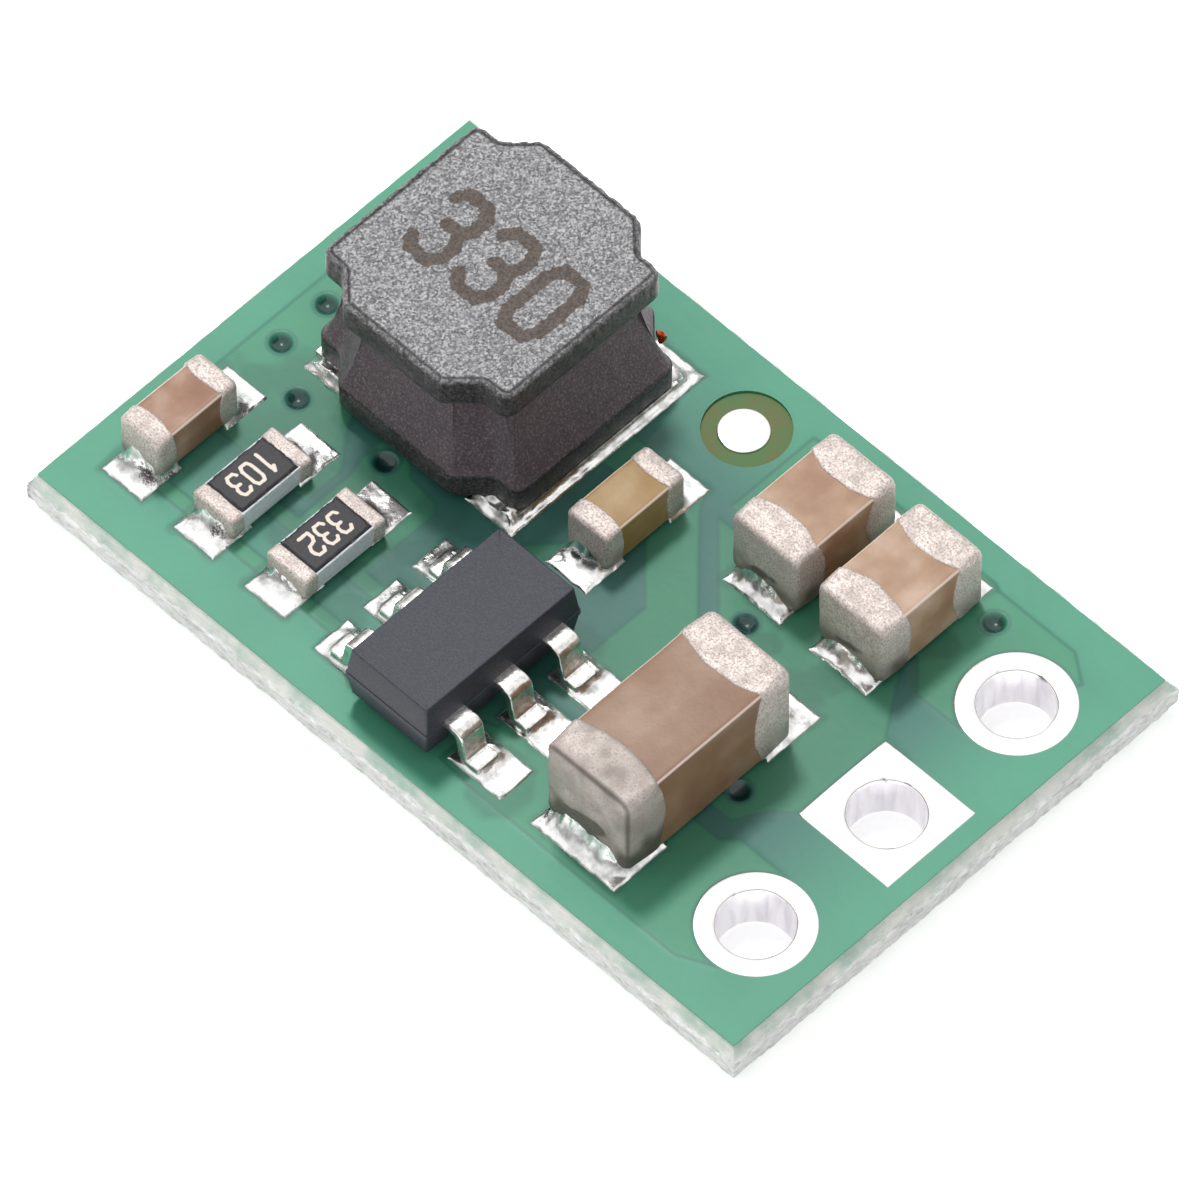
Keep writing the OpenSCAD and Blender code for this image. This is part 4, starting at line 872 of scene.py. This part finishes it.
def resistor(name, digits, seed, soil):
    """A chip resistor: alumina tile, thin wrapped ends, and a printed glass coat, a low pad whose
    edge wavers and whose face carries the value, read along -Y."""
    ends, tile, coat = box_mm(name + "_ends"), box_mm(name + "_base"), box_mm(name + "_overcoat")
    tile[0][2] = ends[0][2] + 0.02
    block, _ = ceramic_block(tile, 0.02, seed, 0.1)
    piece(name + "_tile", [block], LOOK["alumina"], (name + "_base",))
    caps = [end_cap(ends, s, 0.23, 0.012, 0.025, 0.06, 0.05, seed + 2 + s) for s in (-1, 1)]
    metal_ends(name, caps, "_wrapped_ends")
    lo, hi = coat
    x, y = np.meshgrid(np.linspace(lo[0], hi[0], 52), np.linspace(lo[1] - 0.015, hi[1] + 0.015, 84))
    flat = np.stack([x, y, 0 * x], -1)
    inset = np.minimum(np.minimum(x - lo[0], hi[0] - x), np.minimum(y - lo[1], hi[1] - y) + 0.015)
    inset = inset + 0.014 * noise(flat, 0.09, seed + 8) + 0.008 * noise(flat, 0.04, seed + 9)
    z = lo[2] - 0.006 + (hi[2] - lo[2] + 0.004) * np.sqrt(1 - (1 - np.clip(inset / 0.05, 0, 1)) ** 2)
    mark = ink_depth(-(y - (lo[1] + hi[1]) / 2), x - (lo[0] + hi[0]) / 2, digits, 0.17, 0.38, 0.09, 0.026)
    piece(name + "_glass", [sheet(x, y, z)], LOOK["overcoat"], (name + "_overcoat",),
          {"ink": mark}, merge=False)
    chip_solder(name, ends, (0.3, 0.3 * 0.8), 0.12, seed, soil)


resistor("resistor_a", "103", 300, 1.1)
resistor("resistor_b", "332", 340, 0.45)


# Regulator ------------------------------------------------------------------------------

def regulator_body():
    """The moulded body: rows up from the underside, out to the parting line and in to the top, with
    small radii at the edges, closed top and bottom."""
    lo, hi = box_mm("regulator_body")
    centre = np.array([(lo[0] + hi[0]) / 2, (lo[1] + hi[1]) / 2, 0])
    a, b, part = (hi[0] - lo[0]) / 2, (hi[1] - lo[1]) / 2, lo[2] + 0.465
    draft = 0.065
    # inset, corner radius and level
    shell = [(0.2, 0.03, lo[2]), (draft + 0.02, 0.03, lo[2]), (draft, 0.035, lo[2] + 0.02),
             (0.012, 0.04, part - 0.05), (0, 0.04, part - 0.045), (0, 0.04, part + 0.045),
             (0.012, 0.04, part + 0.05), (draft, 0.035, hi[2] - 0.022),
             (draft + 0.006, 0.03, hi[2] - 0.008), (draft + 0.02, 0.02, hi[2]), (0.3, 0.02, hi[2])]
    rows = [(0, 0, 0, lo[2])] + [(a - i, b - i, r, z) for i, r, z in shell] + [(0, 0, 0, hi[2])]
    piece("regulator_moulding", [stack(centre, rows, arc=4, side=12)], LOOK["epoxy"], ("regulator_body",),
          sharp=28)


regulator_body()


HALF_LEAD = 0.21  # half the width of a lead


def gull_wing(y, side, body_x, seed):
    """One lead: a centre line that leaves the body level, bends down, leans out by 10 degrees and
    bends level again, with a rounded rectangular section set square to it all the way."""
    level, foot, bend, lean = 1.425, 0.91, 0.12, math.radians(80)
    tip, pad, half_thick = 1.43, 0.19, 0.075
    leg = (level - foot - 2 * bend * (1 - math.cos(lean))) / math.sin(lean)
    shoulder = tip - pad - 2 * bend * math.sin(lean) - leg * math.cos(lean)
    turn = np.linspace(0, lean, 9)
    line = [(0.6, level), (0.8, level)]
    line += list(zip(shoulder + bend * np.sin(turn), level - bend * (1 - np.cos(turn))))
    x, z = line[-1][0] + leg * math.cos(lean), line[-1][1] - leg * math.sin(lean)
    line += list(zip(x + bend * (math.sin(lean) - np.sin(lean - turn)),
                     z - bend * (np.cos(lean - turn) - math.cos(lean))))
    line = np.array(line + [(1.34, foot), (1.405, foot), (1.428, foot), (tip, foot)])
    ahead = np.gradient(line, axis=0)
    ahead /= np.linalg.norm(ahead, axis=1, keepdims=True)
    size = np.ones(len(line))
    size[-1], size[-2] = 0, 0.85
    across, thick = rounded(HALF_LEAD * size, half_thick * size, 0.03 * size, 4, 6)
    px = line[:, :1] - ahead[:, 1:] * thick
    pz = line[:, 1:] + ahead[:, :1] * thick
    points = np.stack([side * px + body_x, y + across, pz], -1)
    points = points + 0.003 * rough(points, 0.12, seed)[..., None]
    faces = weave(*across.shape, loop=True)
    return points, faces[:, ::-1] if side < 0 else faces


def regulator_leads():
    """Three bent leads a side, and a pool of solder round each foot."""
    lo, hi = box_mm("regulator_body")
    body_x = (lo[0] + hi[0]) / 2
    for name, side in (("regulator_leads_left", -1), ("regulator_leads_right", 1)):
        llo, lhi = box_mm(name)
        pitch = (lhi[1] - llo[1] - 2 * HALF_LEAD) / 2
        rows = [gull_wing(llo[1] + HALF_LEAD + i * pitch, side, body_x, 400 + 10 * i + side)
                for i in range(3)]
        piece(name + "_bent", rows, LOOK["lead_metal"], (name,), sharp=50)
    pools = []
    for i, land in enumerate(regulator_lands()):
        side = 1 if i > 2 else -1
        middle = (land[2] + land[3]) / 2
        heel, tip = sorted((body_x + side * 1.08, body_x + side * 1.40))
        foot = (heel, tip, middle - 0.19, middle + 0.19)
        pools.append(pool(land, foot, 0.022, 0.13, 0.09, 450 + i, 0.5))
    solder("regulator_solder", pools)


regulator_leads()


# Inductor -------------------------------------------------------------------------------

def drum_outline(a, b):
    """The flanges' outline for half sizes a and b. A quarter runs straight up the side, round the
    corner lobe, in along the notch, up the chamfer and along the far side. It is mirrored into all
    four quarters."""
    # the lobe's radius, the notch's depth, and how far in the notch and its chamfer reach
    r, notch, ledge, chamfer = 0.18, 0.42, 0.45, 0.87
    turn = np.radians(np.linspace(0, 90, 10))
    lobe = np.stack([a - r + r * np.cos(turn), b - notch - r + r * np.sin(turn)], 1)
    quarter = np.concatenate([[(a, 0.0)], lobe, [(a - ledge, b - notch), (a - chamfer, b), (0.0, b)]])
    mirrored = [quarter, (quarter * (-1, 1))[::-1], quarter * (-1, -1), (quarter * (1, -1))[::-1]]
    return np.concatenate([m[:-1] for m in mirrored])


def flange_rows(sizes, count=440):
    """Closed rows of points for a list of half sizes a, b, an inset, and a height. Each outline is
    walked at equal steps, eased by a short moving average, and moved inward along its normal."""
    rows = []
    for a, b, inset, z in sizes:
        ring = drum_outline(a, b)
        closed = np.vstack([ring, ring[:1]])
        far = np.concatenate([[0], np.cumsum(np.linalg.norm(np.diff(closed, axis=0), axis=1))])
        at = np.linspace(0, far[-1], count, endpoint=False)
        p = np.stack([np.interp(at, far, closed[:, 0]), np.interp(at, far, closed[:, 1])], 1)
        for _ in range(3):
            p = (np.roll(p, 1, 0) + p + np.roll(p, -1, 0)) / 3
        ahead = np.roll(p, -2, 0) - np.roll(p, 2, 0)
        ahead /= np.linalg.norm(ahead, axis=1, keepdims=True)
        p = p - inset * np.stack([ahead[:, 1], -ahead[:, 0]], 1)
        rows.append(np.column_stack([p, np.full(count, z)]))
    return np.array(rows)


SLIP = -0.08  # the top flange sits this far off the base's middle, along X


def drum():
    """The ferrite drum. Its top flange runs from its underside up the side, over a lumpy rounded
    rim, down into a shallow groove and in over the ground face. Its base flange is a slab with an
    eased edge. Both close at their middles."""
    lo, hi = box_mm("inductor_core")
    centre = np.array([(lo[0] + hi[0]) / 2, (lo[1] + hi[1]) / 2, 0])
    base_a, base_b = (hi[0] - lo[0]) / 2, (hi[1] - lo[1]) / 2
    top_a, top_b, top = base_a - 0.15, base_b - 0.035, hi[2]
    under, base_top = top - 0.51, lo[2] + 0.46
    # inset, level, how much varnish covers the row, and how lumpy it is
    rim = [(0.1, under, 1, 0), (0.03, under, 1, 0), (0.006, under + 0.025, 1, 0), (0, under + 0.06, 1, 0),
           (0, under + 0.2, 1, 0.2), (0, under + 0.32, 0.95, 0.5), (0.002, top - 0.09, 0.8, 1),
           (0.012, top - 0.045, 0.55, 1.2), (0.03, top - 0.018, 0.35, 1), (0.05, top - 0.006, 0.4, 0.8),
           (0.072, top - 0.004, 0.7, 0.5), (0.085, top - 0.016, 1.1, 0.2), (0.1, top - 0.02, 1.1, 0),
           (0.115, top - 0.012, 0.45, 0), (0.14, top - 0.008, 0.05, 0)]
    crown = flange_rows([(top_a, top_b, inset, z) for inset, z, _, _ in rim])
    crown[0, :, :2] = 0.8 * crown[1, :, :2]
    crown[..., 0] += SLIP
    coat, edge = np.array(rim).T[2:, :, None]
    coat = coat + 0 * crown[..., 0]
    lumps = rough(crown, 0.13, 500, 3)
    crown[..., 2] -= 0.03 * edge * np.abs(lumps)
    crown[..., :2] *= 1 - (0.018 * edge * np.abs(lumps))[..., None]
    k = np.linspace(1, 0, 90)[1:, None, None]
    ground = crown[-1:] * np.concatenate([k, k, 0 * k + 1], -1)
    points = np.concatenate([crown, ground]) + centre
    coat = np.concatenate([coat, np.zeros(ground.shape[:2])])
    mark = ink_depth(points[..., 0] - centre[0] - 0.02, points[..., 1] - centre[1] + 0.02, "330", 0.58, 1.2,
                     0.33, 0.105)
    mark = np.where(points[..., 2] > top - 0.03, mark, -0.2)
    surfaces = [(points, weave(*points.shape[:2], loop=True))]
    edges = [(0.9, lo[2]), (0.03, lo[2]), (0.006, lo[2] + 0.02), (0, lo[2] + 0.05), (0, lo[2] + 0.25),
             (0, base_top - 0.04), (0.01, base_top - 0.012), (0.035, base_top), (0.3, base_top)]
    slab = flange_rows([(base_a, base_b, inset, z) for inset, z in edges])
    worn = 0.006 * rough(slab, 0.3, 520, 3)
    slab[..., :2] *= 1 - np.abs(worn)[..., None]
    surfaces.append((slab + centre, weave(*slab.shape[:2], loop=True)))
    coat = np.concatenate([coat.ravel(), np.full(slab[..., 0].size, 1.0)])
    mark = np.concatenate([mark.ravel(), np.full(slab[..., 0].size, -0.2)])
    piece("drum_core", surfaces, LOOK["ferrite"], ("inductor_core",),
          {"coat": coat, "ink": mark})
    return centre, base_a, base_b, top_a, top_b, base_top, under


def potting(centre, base_a, base_b, top_a, top_b, base_top, under):
    """Resin between the flanges: rows from the base flange's edge up through a hollow sweep to the
    top flange. Height share against inset gives the sweep."""
    rows = []
    for t in np.linspace(0, 1, 26):
        a, b = base_a + (top_a - base_a) * t, base_b + (top_b - base_b) * t
        inset = 0.02 + 0.3 * t ** 0.8 + 0.05 * math.sin(math.pi * t)
        rows.append((a, b, inset, base_top - 0.002 + (under + 0.02 - base_top) * t))
    p = flange_rows(rows)
    p[..., 0] += SLIP * np.linspace(0, 1, 26)[:, None]
    p[..., :2] *= 1 - (0.008 * np.abs(rough(p, 0.35, 540, 3)))[..., None]
    piece("potting_resin", [(p + centre, weave(*p.shape[:2], loop=True))], LOOK["resin"],
          ("inductor_resin",))


potting(*drum())


def wound_wire():
    """The enamelled wire: a wound cylinder whose wall ripples once a turn, and at each of its two
    ends a tube carried round a half circle, out of the resin in the far notch and back into it."""
    mesh = NODES["inductor_winding"].data
    co = np.empty(len(mesh.vertices) * 3, np.float32)
    mesh.vertices.foreach_get("co", co)
    co = co.reshape(-1, 3).astype(float) / MM
    feet, crown = co[co[:, 2] < co[:, 2].min() + 0.01], co[co[:, 2] > co[:, 2].max() - 0.01]
    centre, radius = (crown.min(0) + crown.max(0)) / 2, np.ptp(crown[:, 0]) / 2
    wall = co[np.abs(np.hypot(*(co - centre)[:, :2].T) - radius) < 0.01, 2]
    turn, k = np.radians(np.arange(0, 360, 5.0)), np.linspace(0, 1, 97)[:, None]
    r = (radius - 0.02 + 0.015 * np.cos(24 * np.pi * k)) * np.minimum(1, 40 * np.minimum(k, 1 - k))
    z = wall.min() + (wall.max() - wall.min()) * np.clip((k - 0.025) / 0.95, 0, 1) + 0 * turn
    surfaces = [sheet(centre[0] + r * np.cos(turn), centre[1] + r * np.sin(turn), z, loop=True)]
    for side in (-1, 1):
        foot = feet[side * (feet[:, 0] - centre[0]) > 0]
        spot, thick = (foot.min(0) + foot.max(0)) / 2, np.ptp(foot[:, 0]) / 2
        leg = co[np.hypot(*(co - spot)[:, :2].T) < 1.05 * thick]
        bend, ring = np.radians(np.linspace(100, -80, 25))[:, None], np.radians(np.arange(0, 360, 24.0))
        size = np.concatenate([[0], np.ones(23), [0]])[:, None] * 0.75 * thick
        away = np.cos(bend) * (0.09 + size * np.cos(ring)) - 0.12
        lift = np.sin(bend) * (0.09 + size * np.cos(ring)) - 0.07
        across = size * np.sin(ring)
        x, y = spot[0] + side * 0.62 * away - 0.78 * across, spot[1] + 0.78 * away + side * 0.62 * across
        points, faces = sheet(x, y, leg[:, 2].max() - thick + lift, loop=True)
        surfaces.append((points, faces[:, ::-1]))
    piece("wound_wire", surfaces, LOOK["wire"], ("inductor_winding",))


wound_wire()


def inductor_joints():
    """The inductor's two pools of solder, which run along its base."""
    lo, hi = box_mm("inductor_core")
    foot = (lo[0] + 0.02, hi[0] - 0.02, lo[1] + 0.3, hi[1] - 0.3)
    solder("inductor_solder", [pool(land, foot, 0.025, 0.16, 0.07, 480 + i, 0.15)
                               for i, land in enumerate(inductor_lands())])


inductor_joints()

# Camera, light and floor ----------------------------------------------------------------

azimuth, elevation = math.radians(44.642), math.radians(55.382)
back = Vector((math.sin(azimuth) * math.cos(elevation), -math.cos(azimuth) * math.cos(elevation),
               math.sin(elevation)))
right = Vector((math.cos(azimuth), math.sin(azimuth), 0))
up = back.cross(right)
distance = 0.30995
view_width = 16.41571 * MM  # what the frame spans at the board
camera = bpy.data.objects.new("camera", bpy.data.cameras.new("camera"))
bpy.context.scene.collection.objects.link(camera)
top_of_board = Vector((0, 0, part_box("top_solder_mask")[1].z))
camera.matrix_world = Matrix.Translation(top_of_board + back * distance + right * 0.0057e-3
                                         - up * 0.3306e-3) @ Matrix((right, up, back)).transposed().to_4x4()
camera.data.sensor_width = 36
camera.data.lens = camera.data.sensor_width * distance / view_width
camera.data.clip_start, camera.data.clip_end = 0.01, 10
bpy.context.scene.camera = camera
bpy.context.scene.view_settings.view_transform = "Standard"


def lamp(name, towards, size, power, reach=0.12):
    """A square area lamp that shines from the direction towards, on the middle of the board."""
    light = bpy.data.lights.new(name, "AREA")
    light.size = size
    light.energy = power
    made = bpy.data.objects.new(name, light)
    away = Vector(towards).normalized()
    made.location = away * reach
    made.rotation_mode = "QUATERNION"
    made.rotation_quaternion = away.to_track_quat("Z", "Y")
    bpy.context.scene.collection.objects.link(made)
    return made


# the soft main lamp lights the forms; a small one in the same place gives metal its glints
lamp("key", (-0.37, 0.22, 1), 0.018, 0.040).visible_glossy = False
lamp("glint", (-0.37, 0.22, 1), 0.018, 0.050)


def seen(tree):
    """1 for rays that come from the camera, a mirror or clear glass, and 0 for soft light."""
    camera_ray, glossy, through = (add(tree, "LightPath", {}, "Is %s Ray" % ray)
                                   for ray in ("Camera", "Glossy", "Transmission"))
    first = add(tree, "Math", (camera_ray, glossy), operation="MAXIMUM")
    return add(tree, "Math", (first, through), operation="MAXIMUM")


world = bpy.data.worlds.new("studio")
bpy.context.scene.world = world
world.use_nodes = True
sky = world.node_tree
# soft light: even from all round, a broad fill from the front left and a mild lift from low on the
# right. What mirrors see: a white ceiling that darkens towards the horizon, as a studio's walls do.
towards = add(sky, "TexCoord", {}, "Generated")
fill = add(sky, "VectorMath", (towards, (-0.46, -0.78, 0.42)), "Value", operation="DOT_PRODUCT")
broad = add(sky, "MapRange", (fill, 0.0, 1.0, 0.36, 0.86))
low = add(sky, "VectorMath", (towards, (0.9, -0.3, -0.3)), "Value", operation="DOT_PRODUCT")
lift = add(sky, "MapRange", (low, 0.2, 1.0, 0.0, 0.45))
soft = add(sky, "Math", (broad, lift), operation="ADD")
height = add(sky, "SeparateXYZ", (towards,), "Z")
ceiling = add(sky, "MapRange", (height, 0.1, 0.62, 0.22, 1.0), **EASED)
level = add(sky, "Mix", {0: seen(sky), 2: soft, 3: ceiling})
sky.nodes["Background"].inputs["Color"].default_value = (1, 1, 1, 1)
sky.links.new(level, sky.nodes["Background"].inputs["Strength"])

floor_mesh = bpy.data.meshes.new("floor")
floor_mesh.from_pydata([(-1, -1, 0), (1, -1, 0), (1, 1, 0), (-1, 1, 0)], [], [(0, 1, 2, 3)])
floor = bpy.data.objects.new("floor", floor_mesh)
bpy.context.scene.collection.objects.link(floor)
# matt white paper, which reads as pure white and still takes the object's shadow
paper, paper_tree, paper_sockets, _ = material("white_paper", "#ffffff", 0, 0.9)
paper_sockets["Emission Color"].default_value = (1, 1, 1, 1)
glow = add(paper_tree, "Math", (seen(paper_tree), 0.5), operation="MULTIPLY")
paper_tree.links.new(glow, paper_sockets["Emission Strength"])
floor.data.materials.append(paper)
